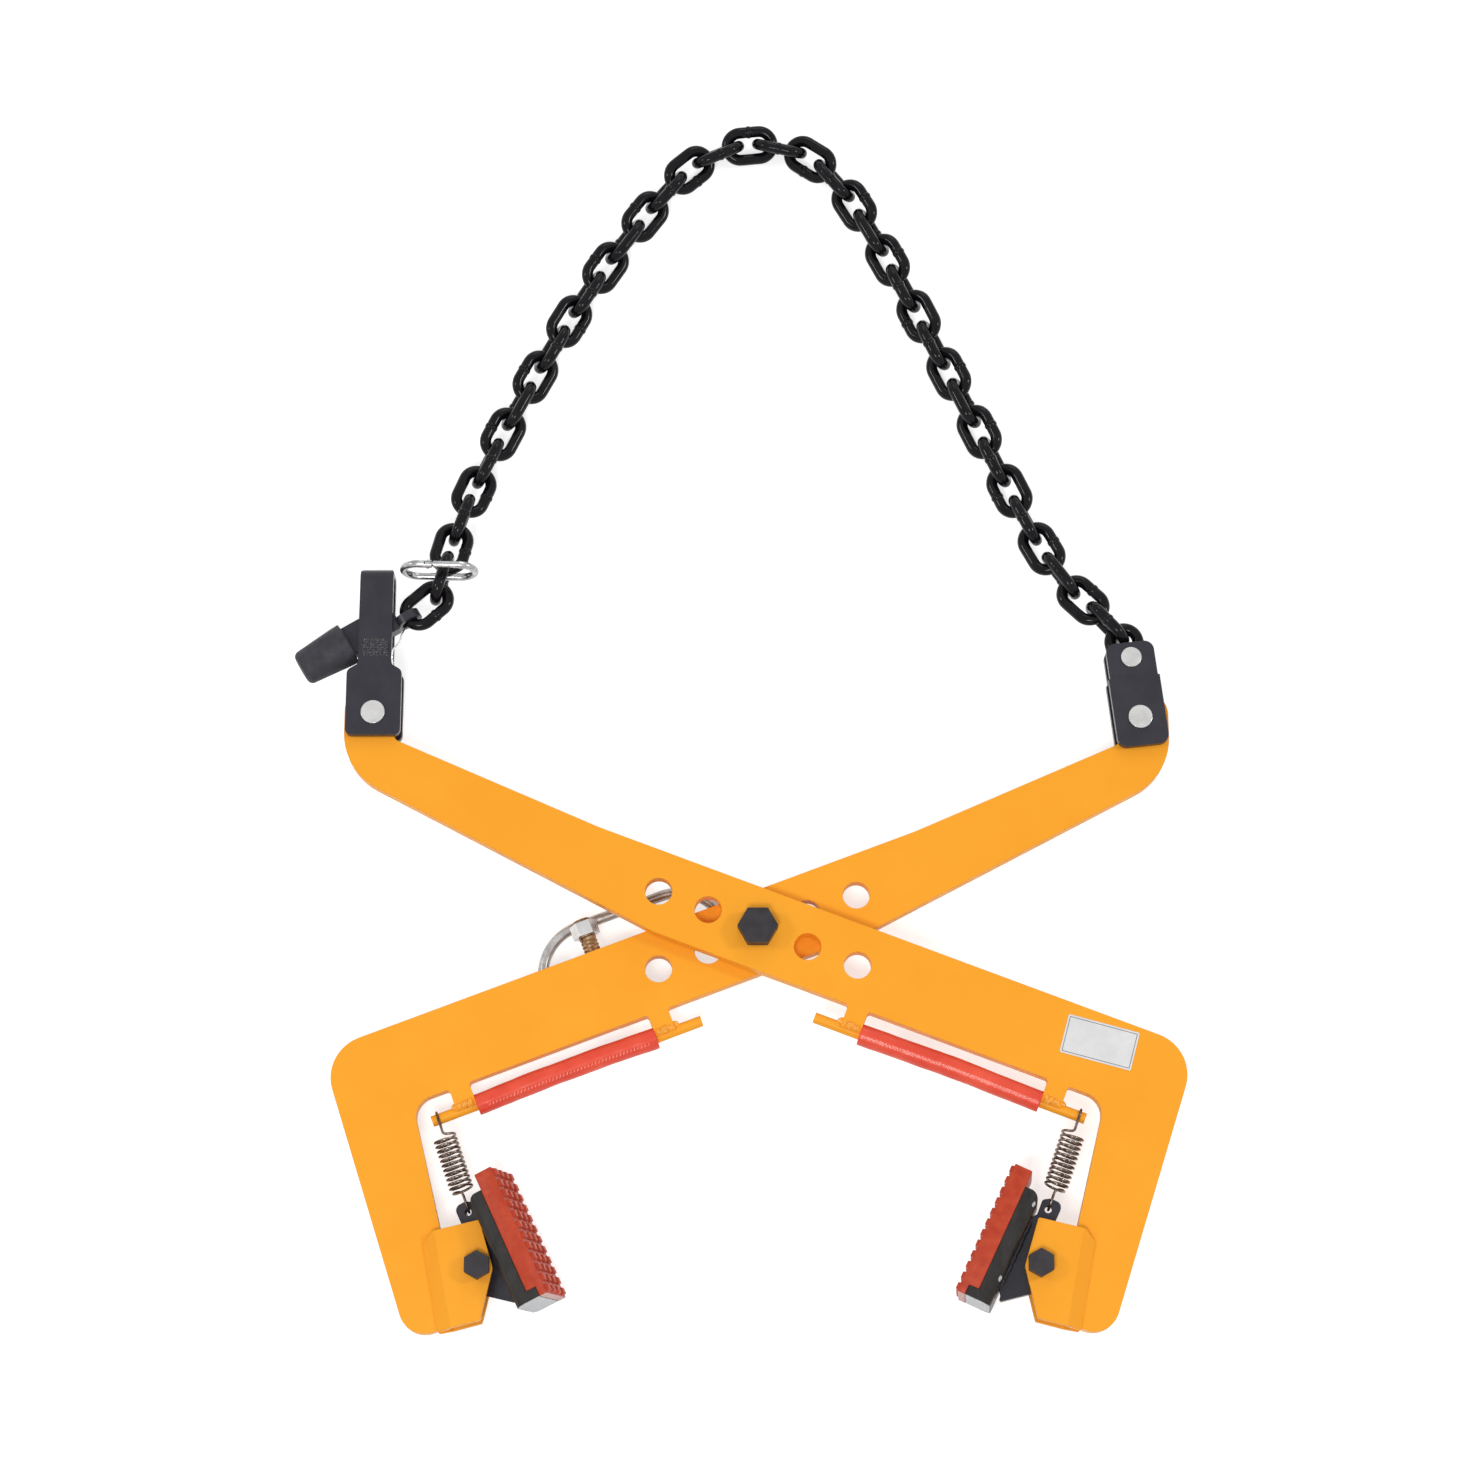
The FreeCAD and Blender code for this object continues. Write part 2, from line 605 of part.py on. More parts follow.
def spring_solid():
    top, ear = spring_ends()
    along = ear - top
    length = along.Length
    along.normalize()
    across = along.cross(UP)
    hook = ROD_DIAMETER / 2.0 + SEAT_CLEARANCE + SPRING_WIRE / 2.0
    tilt = math.radians(max(abs(LEFT_JAW_ROCK), abs(RIGHT_JAW_ROCK)))
    low_hook = LUG_THICKNESS / 2.0 + SPRING_WIRE + EAR_RADIUS * math.sin(tilt)
    stations = []

    def station(point, way):
        way.normalize()
        stations.append((point, way))

    for angle in (-150, -90, 0, 90):
        turn = math.radians(angle)
        point = top - along * (hook * math.cos(turn)) + UP * (hook * math.sin(turn))
        way = along * math.sin(turn) + UP * math.cos(turn)
        if angle == -150:
            station(point - way * SPRING_WIRE, way)
        station(point, way)
    station(top + along * (SPRING_LEAD_IN - SHANK_TURN) + UP * hook, vec(*along))
    pitch = (length - SPRING_LEAD_IN - SPRING_LEAD_OUT) / SPRING_TURNS
    quarter = 0
    while quarter <= 4 * SPRING_TURNS - 2:
        turn = math.radians(50 + 90 * quarter)
        radial = UP * math.cos(turn) + across * math.sin(turn)
        way = across * math.cos(turn) - UP * math.sin(turn)
        advance = pitch / (2.0 * math.pi * SPRING_MEAN_RADIUS)
        spot = top + along * (SPRING_LEAD_IN + pitch * quarter / 4.0) + radial * SPRING_MEAN_RADIUS
        station(spot, way + along * advance)
        quarter += 1
    station(ear - along * (SPRING_LEAD_OUT - SHANK_TURN) + UP * low_hook, vec(*along))
    for angle in (90, 0, -90):
        turn = math.radians(angle)
        point = ear - along * (low_hook * (1.0 - math.cos(turn))) + UP * (low_hook * math.sin(turn))
        station(point, along * math.sin(turn) - UP * math.cos(turn))
    point, way = stations[-1]
    station(point + way * SPRING_WIRE, vec(*way))
    edges = []
    for index in range(len(stations) - 1):
        edges += biarc(*stations[index], *stations[index + 1])
    path = Part.Wire(edges)
    print("spring: least gap to itself %.2f mm" % least_gap(path, SPRING_WIRE))
    return swept(path, SPRING_WIRE / 2.0)


def least_gap(path, wire):
    """Least distance between wire surfaces, on points more than three wire diameters apart along it."""
    step = wire / 2.0
    points = path.discretize(Distance=step)
    skip = 6
    least = 1000.0
    for first in range(len(points)):
        for second in range(first + skip, len(points)):
            gap = points[first].distanceToPoint(points[second]) - wire
            arc_length = (second - first) * step
            if arc_length > 3.0 * wire:
                least = min(least, gap)
    return least


# Pivot bolt, nut and washers


def pivot_bolt():
    top = FRONT_ARM_Z + ARM_THICKNESS / 2.0
    bottom = REAR_ARM_Z - ARM_THICKNESS / 2.0 - PIVOT_WASHER - PIVOT_NUT - PIVOT_TAIL
    shank = round_bar(0, 0, bottom, top, PIVOT_DIAMETER)
    return shank.fuse(hexagon(0, 0, top, top + PIVOT_HEAD, PIVOT_HEX, 0)).removeSplitter()


def pivot_nut():
    top = REAR_ARM_Z - ARM_THICKNESS / 2.0 - PIVOT_WASHER
    nut = hexagon(0, 0, top - PIVOT_NUT, top, PIVOT_HEX, 0)
    return nut.cut(round_bar(0, 0, top - PIVOT_NUT - 1, top + 1, PIVOT_DIAMETER + 2.0 * SHAFT_CLEARANCE))


def pivot_washers():
    washers = []
    half = ARM_THICKNESS / 2.0
    for bottom in (REAR_ARM_Z + half, REAR_ARM_Z - half - PIVOT_WASHER):
        disc = round_bar(0, 0, bottom, bottom + PIVOT_WASHER, PIVOT_WASHER_DIAMETER)
        bore = round_bar(0, 0, bottom - 1, bottom + PIVOT_WASHER + 1, PIVOT_DIAMETER + 2.0 * SHAFT_CLEARANCE)
        washers.append(disc.cut(bore))
    return Part.makeCompound(washers)


# Stirrup, its pin, and the toggle through the bow


def stirrup_inner():
    return ARM_THICKNESS / 2.0 + SIDE_CLEARANCE


def stirrup_plates():
    x, y = arm_point(EYE_U, EYE_V)
    wide = STIRRUP_WIDTH / 2.0
    narrow = STRAP_WIDTH / 2.0
    corners = [
        (x - wide, y - STIRRUP_BELOW_PIN, 6.0), (x + wide, y - STIRRUP_BELOW_PIN, 6.0),
        (x + wide, y + STIRRUP_SHOULDER, 6.0), (x + narrow, y + STIRRUP_SHOULDER + 6.0, 3.0),
        (x + narrow, y + STIRRUP_SEAM, 0.0), (x - narrow, y + STIRRUP_SEAM, 0.0),
        (x - narrow, y + STIRRUP_SHOULDER + 6.0, 3.0), (x - wide, y + STIRRUP_SHOULDER, 6.0),
    ]
    inner = stirrup_inner()
    sides = []
    for bottom in (FRONT_ARM_Z + inner, FRONT_ARM_Z - inner - STRAP_THICKNESS):
        side = plate(corners, bottom, bottom + STRAP_THICKNESS)
        bore = EYE_PIN_DIAMETER + 2.0 * SHAFT_CLEARANCE
        sides.append(side.cut(round_bar(x, y, bottom - 1, bottom + STRAP_THICKNESS + 1, bore)))
    return Part.makeCompound(sides)


def stirrup_bow():
    """Strap bent over into a U, in the plane square to the arms."""
    x, y = arm_point(EYE_U, EYE_V)
    inner = stirrup_inner()
    outer = inner + STRAP_THICKNESS
    low = y + STIRRUP_SEAM
    high = y + STIRRUP_TOP
    corners = [
        (low, -outer, 0.0), (high, -outer, outer - 3.0), (high, outer, outer - 3.0), (low, outer, 0.0),
        (low, inner, 0.0), (high - STRAP_THICKNESS, inner, inner - 1.0),
        (high - STRAP_THICKNESS, -inner, inner - 1.0), (low, -inner, 0.0),
    ]
    bow = plate(corners, -STRAP_WIDTH / 2.0, STRAP_WIDTH / 2.0)
    bow.rotate(vec(0, 0, 0), vec(1, 1, 1), 120)
    bow.translate(vec(x, 0, FRONT_ARM_Z))
    half = STRAP_WIDTH / 2.0
    front = [
        (x - half, low, 0.0), (x + half, low, 0.0), (x + half, high, BOW_CORNER), (x - half, high, BOW_CORNER),
    ]
    return bow.common(plate(front, FRONT_ARM_Z - outer, FRONT_ARM_Z + outer))


def plain_pin(x, y, middle_z, half_length, diameter):
    return round_bar(x, y, middle_z - half_length, middle_z + half_length, diameter)


def stirrup_pin():
    x, y = arm_point(EYE_U, EYE_V)
    return plain_pin(x, y, FRONT_ARM_Z, stirrup_inner() + STRAP_THICKNESS + PIN_PROUD, EYE_PIN_DIAMETER)


def place_toggle(shape):
    """Toggle coordinates (x along the bar from the bow's middle) to the stirrup."""
    x, y = arm_point(EYE_U, EYE_V)
    placed = shape.copy()
    placed.rotate(vec(0, 0, 0), UP, TOGGLE_SLOPE)
    placed.translate(vec(x, y + TOGGLE_HEIGHT, FRONT_ARM_Z))
    return placed


def toggle_thickness():
    return 2.0 * (stirrup_inner() - SEAT_CLEARANCE)


def toggle_bar():
    half = toggle_thickness() / 2.0
    corners = [
        (-TOGGLE_LEFT, -TOGGLE_WIDTH / 2.0, 3.0), (TOGGLE_RIGHT, -TOGGLE_WIDTH / 2.0, 4.0),
        (TOGGLE_RIGHT, TOGGLE_WIDTH / 2.0, 4.0), (-TOGGLE_LEFT, TOGGLE_WIDTH / 2.0, 3.0),
    ]
    bar = plate(corners, -half, half)
    side = vec(0, TOGGLE_EYE_THICKNESS, 0)
    start = vec(TOGGLE_EYE_AT, -TOGGLE_EYE_DROP - TOGGLE_EYE_THICKNESS / 2.0, 0)
    eye = Part.makeCylinder(TOGGLE_EYE_RADIUS, TOGGLE_EYE_THICKNESS, start, side)
    neck = Part.makeBox(TOGGLE_EYE_AT, TOGGLE_EYE_THICKNESS, 2.0 * half, vec(0, start.y, -half))
    hole_start = vec(TOGGLE_EYE_AT, -TOGGLE_WIDTH, 0)
    hole = Part.makeCylinder(TOGGLE_EYE_HOLE / 2.0, 2.0 * TOGGLE_WIDTH, hole_start, side)
    return place_toggle(bar.fuse([neck, eye]).removeSplitter().cut(hole))


def toggle_sleeve():
    """Rubber sleeve over the bar's outer end, closed at its tip and wider at its mouth."""
    tip = -TOGGLE_LEFT - SLEEVE_END_WALL
    ends = (SLEEVE_DIAMETER / 2.0, SLEEVE_MOUTH_DIAMETER / 2.0)
    sleeve = Part.makeCone(ends[0], ends[1], SLEEVE_LENGTH, vec(tip, 0, 0), vec(1, 0, 0))
    sleeve = sleeve.makeFillet(3.0, [sleeve.Edges[0], sleeve.Edges[2]])
    half = toggle_thickness() / 2.0 + SHAFT_CLEARANCE
    wide = TOGGLE_WIDTH / 2.0 + SHAFT_CLEARANCE
    slot = Part.makeBox(SLEEVE_LENGTH + TOGGLE_LEFT, 2.0 * wide, 2.0 * half, vec(-TOGGLE_LEFT, -wide, -half))
    return place_toggle(sleeve.cut(slot))


def toggle_eye_centre():
    return place_toggle(Part.Vertex(TOGGLE_EYE_AT, -TOGGLE_EYE_DROP, 0)).Point


# Link on the rear arm's eye


def rear_eye():
    x, y = arm_point(EYE_U, EYE_V)
    return -x, y


def place_link(shape):
    """Link coordinates (y up from the arm pin) to the rear arm's eye."""
    x, y = rear_eye()
    placed = shape.copy()
    placed.rotate(vec(0, 0, 0), UP, LINK_LEAN)
    placed.translate(vec(x, y, REAR_ARM_Z))
    return placed


def link_plate(side):
    """Link plate on one face; its upper half is set in by a small step."""
    inner = stirrup_inner()
    wide = LINK_WIDTH / 2.0
    narrow = LINK_TOP_WIDTH / 2.0
    top = LINK_PITCH + LINK_ABOVE
    lower = [
        (-wide, -LINK_BELOW, LINK_CORNER), (wide, -LINK_BELOW, LINK_CORNER),
        (wide, LINK_STEP_AT, 0.0), (-wide, LINK_STEP_AT, 0.0),
    ]
    upper = [
        (-narrow, LINK_STEP_AT - 4.0, 0.0), (narrow, LINK_STEP_AT - 4.0, 0.0),
        (narrow, top, LINK_CORNER), (-narrow, top, LINK_CORNER),
    ]
    solid = plate(lower, inner, inner + LINK_THICKNESS)
    solid = solid.fuse(plate(upper, inner - LINK_STEP, inner - LINK_STEP + LINK_THICKNESS))
    trim = plate(lower, inner - 2.0 * LINK_STEP, inner)
    solid = solid.cut(trim).removeSplitter()
    far = inner + LINK_THICKNESS + 1.0
    solid = solid.cut(round_bar(0, 0, 0, far, EYE_PIN_DIAMETER + 2.0 * SHAFT_CLEARANCE))
    solid = solid.cut(round_bar(0, LINK_PITCH, 0, far, CHAIN_PIN_DIAMETER + 2.0 * SHAFT_CLEARANCE))
    if side < 0:
        solid = solid.mirror(vec(0, 0, 0), UP)
    return place_link(solid)


def link_spacer():
    inner = stirrup_inner()
    width = LINK_TOP_WIDTH - 6.0
    block = Part.makeBox(width, SPACER_HEIGHT, 2.0 * inner, vec(-width / 2.0, SPACER_START, -inner))
    return place_link(block)


def link_arm_pin():
    return place_link(plain_pin(0, 0, 0, stirrup_inner() + LINK_THICKNESS + PIN_PROUD, EYE_PIN_DIAMETER))


def link_chain_pin():
    outer = stirrup_inner() - LINK_STEP + LINK_THICKNESS
    pin = plain_pin(0, LINK_PITCH, 0, outer, CHAIN_PIN_DIAMETER)
    for side in (-1, 1):
        bottom = outer if side > 0 else -outer - PIN_PROUD
        pin = pin.fuse(round_bar(0, LINK_PITCH, bottom, bottom + PIN_PROUD, CHAIN_PIN_HEAD))
    return place_link(pin.removeSplitter())


# Chain


def chain_link():
    """One link: its long way along X, its plane level."""
    wire = CHAIN_WIRE / 2.0
    bow = CHAIN_INNER_WIDTH / 2.0 + wire
    leg = CHAIN_PITCH / 2.0 - CHAIN_INNER_WIDTH / 2.0
    pieces = []
    for side in (-1, 1):
        pieces.append(Part.makeCylinder(wire, 2.0 * leg, vec(-leg, side * bow, 0), vec(1, 0, 0)))
        half = Part.makeTorus(bow, wire, vec(0, 0, 0), UP, 0, 360, 180)
        half.rotate(vec(0, 0, 0), UP, -90 if side > 0 else 90)
        half.translate(vec(side * leg, 0, 0))
        pieces.append(half)
    return pieces[0].fuse(pieces[1:]).removeSplitter()


def route_length(points):
    return sum(points[index].distanceToPoint(points[index + 1]) for index in range(len(points) - 1))


def point_at(points, distance):
    """Point at a distance along a route of straight runs."""
    run = 0
    while run < len(points) - 2 and distance > points[run].distanceToPoint(points[run + 1]):
        distance -= points[run].distanceToPoint(points[run + 1])
        run += 1
    way = points[run + 1] - points[run]
    way.normalize()
    return points[run] + way * distance


def softened(points):
    """Route with its corners cut at a quarter of each run."""
    cut = [points[0]]
    for index in range(len(points) - 1):
        here = points[index]
        there = points[index + 1]
        cut += [here * 0.75 + there * 0.25, here * 0.25 + there * 0.75]
    return cut + [points[-1]]


def chain_route():
    eye = toggle_eye_centre()
    pin = place_link(Part.Vertex(0, LINK_PITCH, 0)).Point
    points = [vec(*point) for point in CHAIN_ROUTE]
    way = points[0] - eye
    way.normalize()
    last_way = pin - points[-1]
    last_way.normalize()
    points = [eye + way * (CHAIN_WIRE + CHAIN_SLACK / 2.0)] + points + [pin + last_way * SEAT_CLEARANCE]
    return softened(softened(points))


def link_roll(index, count):
    """Each link is a quarter turn from the one before; the chain twists a little from its flat end links."""
    from_end = min(index, count - 1 - index)
    return 90 * index + CHAIN_ROLL * min(1.0, from_end / CHAIN_TWIST_LINKS)


def chain_spans():
    """Where each link starts and ends: links turn inside the flat ones, in the wire of the upright ones."""
    points = chain_route()
    length = route_length(points)
    count = 2 * round((length / (CHAIN_PITCH - CHAIN_SLACK) - 1) / 2) + 1
    reaches = []
    for index in range(count):
        lean = math.cos(math.radians(2 * link_roll(index, count)))
        reaches.append(-CHAIN_WIRE * lean)
    step = (length + APEX_CLEARANCE - sum(reaches)) / count
    distance = 0.0
    spans = []
    for index, reach in enumerate(reaches):
        if index == apex_link(count):
            distance -= APEX_CLEARANCE
        spans.append((point_at(points, distance), point_at(points, distance + step + reach)))
        distance += step + reach
    return spans


def apex_link(count):
    """First link of the right half: the chain's halves meet loosely at its top."""
    return count // 2


def chain_links():
    """All links in order, from the toggle's eye to the chain pin."""
    spans = chain_spans()
    link = chain_link()
    links = []
    for index, (start, end) in enumerate(spans):
        way = end - start
        way.normalize()
        level = UP.cross(way)
        level.normalize()
        rise = way.cross(level)
        base = FreeCAD.Placement()
        base.Matrix = FreeCAD.Matrix(
            way.x, level.x, rise.x, 0, way.y, level.y, rise.y, 0, way.z, level.z, rise.z, 0, 0, 0, 0, 1)
        placed = link.copy()
        placed.rotate(vec(0, 0, 0), vec(1, 0, 0), link_roll(index, len(spans)))
        placed.Placement = base.multiply(placed.Placement)
        placed.translate((start + end) * 0.5)
        links.append(placed)
    return links


# Snap hook: an oblong wire loop standing on edge, closed by a gate on its upper side


def snap_body():
    radius = SNAP_WIRE / 2.0
    bend = SNAP_WIDTH / 2.0 - radius
    run = SNAP_LENGTH / 2.0 - SNAP_WIDTH / 2.0
    gap_start = run - SNAP_GATE_LENGTH
    loop = Part.Wire([
        Part.makeLine(vec(gap_start, 0, bend), vec(-run, 0, bend)),
        Part.Arc(vec(-run, 0, bend), vec(-run - bend, 0, 0), vec(-run, 0, -bend)).toShape(),
        Part.makeLine(vec(-run, 0, -bend), vec(run, 0, -bend)),
        Part.Arc(vec(run, 0, -bend), vec(run + bend, 0, 0), vec(run, 0, bend)).toShape(),
    ])
    body = swept(loop, radius)
    slot = Part.makeBox(SNAP_WIRE * 1.5, SNAP_WIRE * 0.45, SNAP_WIRE * 3.0)
    slot.translate(vec(gap_start - SNAP_WIRE, -SNAP_WIRE * 0.225, bend - SNAP_WIRE * 1.5))
    rivet = Part.makeCylinder(SNAP_RIVET / 2.0 + SHAFT_CLEARANCE, 40, vec(0, -20, 0), vec(0, 1, 0))
    rivet.translate(vec(gap_start - SNAP_WIRE / 2.0, 0, bend))
    return place_snap(body.cut(slot).cut(rivet))


def snap_gate():
    radius = SNAP_WIRE / 2.0
    bend = SNAP_WIDTH / 2.0 - radius
    run = SNAP_LENGTH / 2.0 - SNAP_WIDTH / 2.0
    gap_start = run - SNAP_GATE_LENGTH
    length = SNAP_GATE_LENGTH - SNAP_HINGE_GAP - SEAT_CLEARANCE
    gate = Part.makeCylinder(radius * 0.9, length, vec(gap_start + SNAP_HINGE_GAP, 0, bend), vec(1, 0, 0))
    tongue_width = SNAP_WIRE * 0.45 - 0.4
    tongue = Part.makeBox(SNAP_WIRE + SNAP_HINGE_GAP, tongue_width, SNAP_WIRE * 0.7)
    tongue.translate(vec(gap_start - SNAP_WIRE * 0.85, -tongue_width / 2.0, bend - SNAP_WIRE * 0.35))
    hole = Part.makeCylinder(SNAP_RIVET / 2.0 + SHAFT_CLEARANCE, 40, vec(0, -20, 0), vec(0, 1, 0))
    hole.translate(vec(gap_start - SNAP_WIRE / 2.0, 0, bend))
    return place_snap(gate.fuse(tongue).removeSplitter().cut(hole))


def snap_rivet():
    bend = SNAP_WIDTH / 2.0 - SNAP_WIRE / 2.0
    x = SNAP_LENGTH / 2.0 - SNAP_WIDTH / 2.0 - SNAP_GATE_LENGTH - SNAP_WIRE / 2.0
    start = vec(x, -SNAP_WIRE / 2.0 - 0.5, bend)
    return place_snap(Part.makeCylinder(SNAP_RIVET / 2.0, SNAP_WIRE + 1.0, start, vec(0, 1, 0)))


def place_snap(shape):
    """Hook coordinates to the chain: the lower run passes through the second link."""
    start, end = chain_spans()[1]
    way = end - start
    placed = shape.copy()
    placed.translate(vec(SNAP_OFFSET, 0, SNAP_WIDTH / 2.0 - SNAP_WIRE / 2.0))
    placed.rotate(vec(0, 0, 0), vec(1, 0, 0), -SNAP_TILT)
    placed.rotate(vec(0, 0, 0), UP, math.degrees(math.atan2(way.y, way.x)) - 90 + SNAP_LEVEL)
    placed.translate((start + end) * 0.5)
    way.normalize()
    placed.translate(way * SNAP_ADVANCE)
    return placed


# Hold ring, its block, and the stud with its nut, made on the front arm and then mirrored


def ring_z():
    return RING_Z + FRONT_ARM_Z - REAR_ARM_Z


def hold_ring():
    z = ring_z()
    radius = RING_WIRE / 2.0
    corners = []
    low = RING_V - RING_RADIUS
    high = RING_V + RING_RADIUS
    marks = ((RING_INNER_U, low), (RING_OUTER_U, low), (RING_OUTER_U, high), (RING_INNER_U, high))
    for u, v in marks:
        corners.append(vec(*arm_point(u, v), z))
    outer = vec(*arm_point(RING_OUTER_U + RING_RADIUS, RING_V), z)
    inner = vec(*arm_point(RING_INNER_U - RING_RADIUS, RING_V), z)
    middle = (corners[0] + corners[1]) * 0.5
    loop = Part.Wire([
        Part.makeLine(middle, corners[1]),
        Part.Arc(corners[1], outer, corners[2]).toShape(),
        Part.makeLine(corners[2], corners[3]),
        Part.Arc(corners[3], inner, corners[0]).toShape(),
        Part.makeLine(corners[0], middle),
    ])
    return swept(loop, radius)


def ring_block():
    z = ring_z()
    top = FRONT_ARM_Z - ARM_THICKNESS / 2.0
    bottom = z - RING_WIRE / 2.0 - BLOCK_WALL
    u = BLOCK_U
    v = RING_V - RING_RADIUS
    half_u = BLOCK_LENGTH / 2.0
    half_v = BLOCK_WIDTH / 2.0
    corners = []
    for side_u, side_v in ((-1, -1), (1, -1), (1, 1), (-1, 1)):
        corners.append(arm_point(u + side_u * half_u, v + side_v * half_v) + (2.0,))
    block = plate(corners, bottom, top)
    x, y = arm_point(u - half_u - 1.0, v)
    bore = Part.makeCylinder(RING_WIRE / 2.0 + SHAFT_CLEARANCE, BLOCK_LENGTH + 2.0, vec(x, y, z),
                             vec(*arm_point(1, 0)))
    return block.cut(bore)


def place_stud(shape):
    """Stud coordinates (Z along the stud) to the arm's upper edge."""
    placed = shape.copy()
    placed.rotate(vec(0, 0, 0), vec(1, 0, 0), -90)
    placed.rotate(vec(0, 0, 0), UP, -ARM_SLOPE)
    x, y = arm_point(STUD_U, ARM_WIDTH / 2.0)
    placed.translate(vec(x, y, FRONT_ARM_Z - STUD_DROP))
    return placed


def stop_stud():
    """Threaded stud; the thread is a row of shallow ridges."""
    crest = STUD_DIAMETER / 2.0
    root = crest - 1.0
    pitch = STUD_HEIGHT / STUD_THREADS
    profile = [vec(0, 0, 0), vec(crest, 0, 0)]
    for thread in range(STUD_THREADS):
        profile.append(vec(root, 0, pitch * (thread + 0.5)))
        profile.append(vec(crest, 0, pitch * (thread + 1.0)))
    profile += [vec(0, 0, STUD_HEIGHT), vec(0, 0, 0)]
    return place_stud(Part.Face(Part.makePolygon(profile)).revolve(vec(0, 0, 0), UP, 360))


def stop_nut():
    nut = hexagon(0, 0, STUD_NUT_AT, STUD_NUT_AT + STUD_NUT, JAW_HEX, 0)
    bore_diameter = STUD_DIAMETER + 2.0 * SHAFT_CLEARANCE
    bore = round_bar(0, 0, STUD_NUT_AT - 1, STUD_NUT_AT + STUD_NUT + 1, bore_diameter)
    return place_stud(nut.cut(bore))


def nameplate():
    top = FRONT_ARM_Z + ARM_THICKNESS / 2.0
    corners = []
    for side_u, side_v in ((-1, -1), (1, -1), (1, 1), (-1, 1)):
        along, up = turned(side_u * STICKER_LENGTH / 2.0, side_v * STICKER_HEIGHT / 2.0, STICKER_TURN)
        corners.append(arm_point(STICKER_U + along, STICKER_V + up) + (STICKER_CORNER_RADIUS,))
    return plate(corners, top, top + STICKER_THICKNESS)


def build():
    """All nodes by name, about the pivot's axis, on the floor."""
    nodes = {}
    nodes["front_arm"] = arm_plate()
    nodes["rear_arm"] = mirrored(nodes["front_arm"])
    nodes["front_handle_rod"] = rod_solid()
    nodes["rear_handle_rod"] = mirrored(nodes["front_handle_rod"])
    nodes["front_grip"] = grip_solid()
    nodes["rear_grip"] = mirrored(nodes["front_grip"])
    nodes["front_cheek_upper"] = cheek_solid(1)
    nodes["front_cheek_lower"] = cheek_solid(-1)
    nodes["rear_cheek_upper"] = mirrored(nodes["front_cheek_upper"])
    nodes["rear_cheek_lower"] = mirrored(nodes["front_cheek_lower"])
    nodes["right_jaw_bolt"] = jaw_bolt()
    nodes["left_jaw_bolt"] = mirrored(nodes["right_jaw_bolt"])
    nodes["right_jaw_nut"] = jaw_nut()
    nodes["left_jaw_nut"] = mirrored(nodes["right_jaw_nut"])
    for name, solid in (("jaw_bar", jaw_bar()), ("jaw_lug", jaw_lug()), ("jaw_pad", jaw_pad())):
        nodes["right_" + name] = place_jaw(solid, RIGHT_JAW_ROCK)
        nodes["left_" + name] = mirrored(place_jaw(solid, LEFT_JAW_ROCK))
    nodes["right_spring"] = spring_solid()
    nodes["left_spring"] = mirrored(nodes["right_spring"])
    nodes["pivot_bolt"] = pivot_bolt()
    nodes["pivot_nut"] = pivot_nut()
    nodes["pivot_washers"] = pivot_washers()
    nodes["stirrup_plates"] = stirrup_plates()
    nodes["stirrup_bow"] = stirrup_bow()
    nodes["stirrup_pin"] = stirrup_pin()
    nodes["toggle_bar"] = toggle_bar()
    nodes["toggle_sleeve"] = toggle_sleeve()
    nodes["link_front_plate"] = link_plate(1)
    nodes["link_rear_plate"] = link_plate(-1)
    nodes["link_spacer"] = link_spacer()
    nodes["link_arm_pin"] = link_arm_pin()
    nodes["link_chain_pin"] = link_chain_pin()
    links = chain_links()
    apex = apex_link(len(links))
    nodes["left_chain"] = Part.makeCompound(links[:apex])
    nodes["right_chain"] = Part.makeCompound(links[apex:])
    nodes["snap_hook_body"] = snap_body()
    nodes["snap_hook_gate"] = snap_gate()
    nodes["snap_hook_rivet"] = snap_rivet()
    nodes["hold_ring"] = mirrored(hold_ring())
    nodes["ring_block"] = mirrored(ring_block())
    nodes["stop_stud"] = mirrored(stop_stud())
    nodes["stop_nut"] = mirrored(stop_nut())
    nodes["nameplate"] = nameplate()
    return nodes


NODES = build()
BOX = Part.makeCompound(list(NODES.values())).optimalBoundingBox(False, False)
SHIFT = vec(-BOX.Center.x, -BOX.Center.y, -BOX.ZMin)

os.makedirs("parts", exist_ok=True)
for node_name, node_shape in NODES.items():
    node_shape.translate(SHIFT)
    node_shape.exportStep("parts/%s.step" % node_name)
print("origin shift", SHIFT)
print("size", BOX.XLength, BOX.YLength, BOX.ZLength)
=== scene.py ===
import json
import math
import bmesh
import bpy
import numpy as np
from mathutils import Matrix, Vector, noise


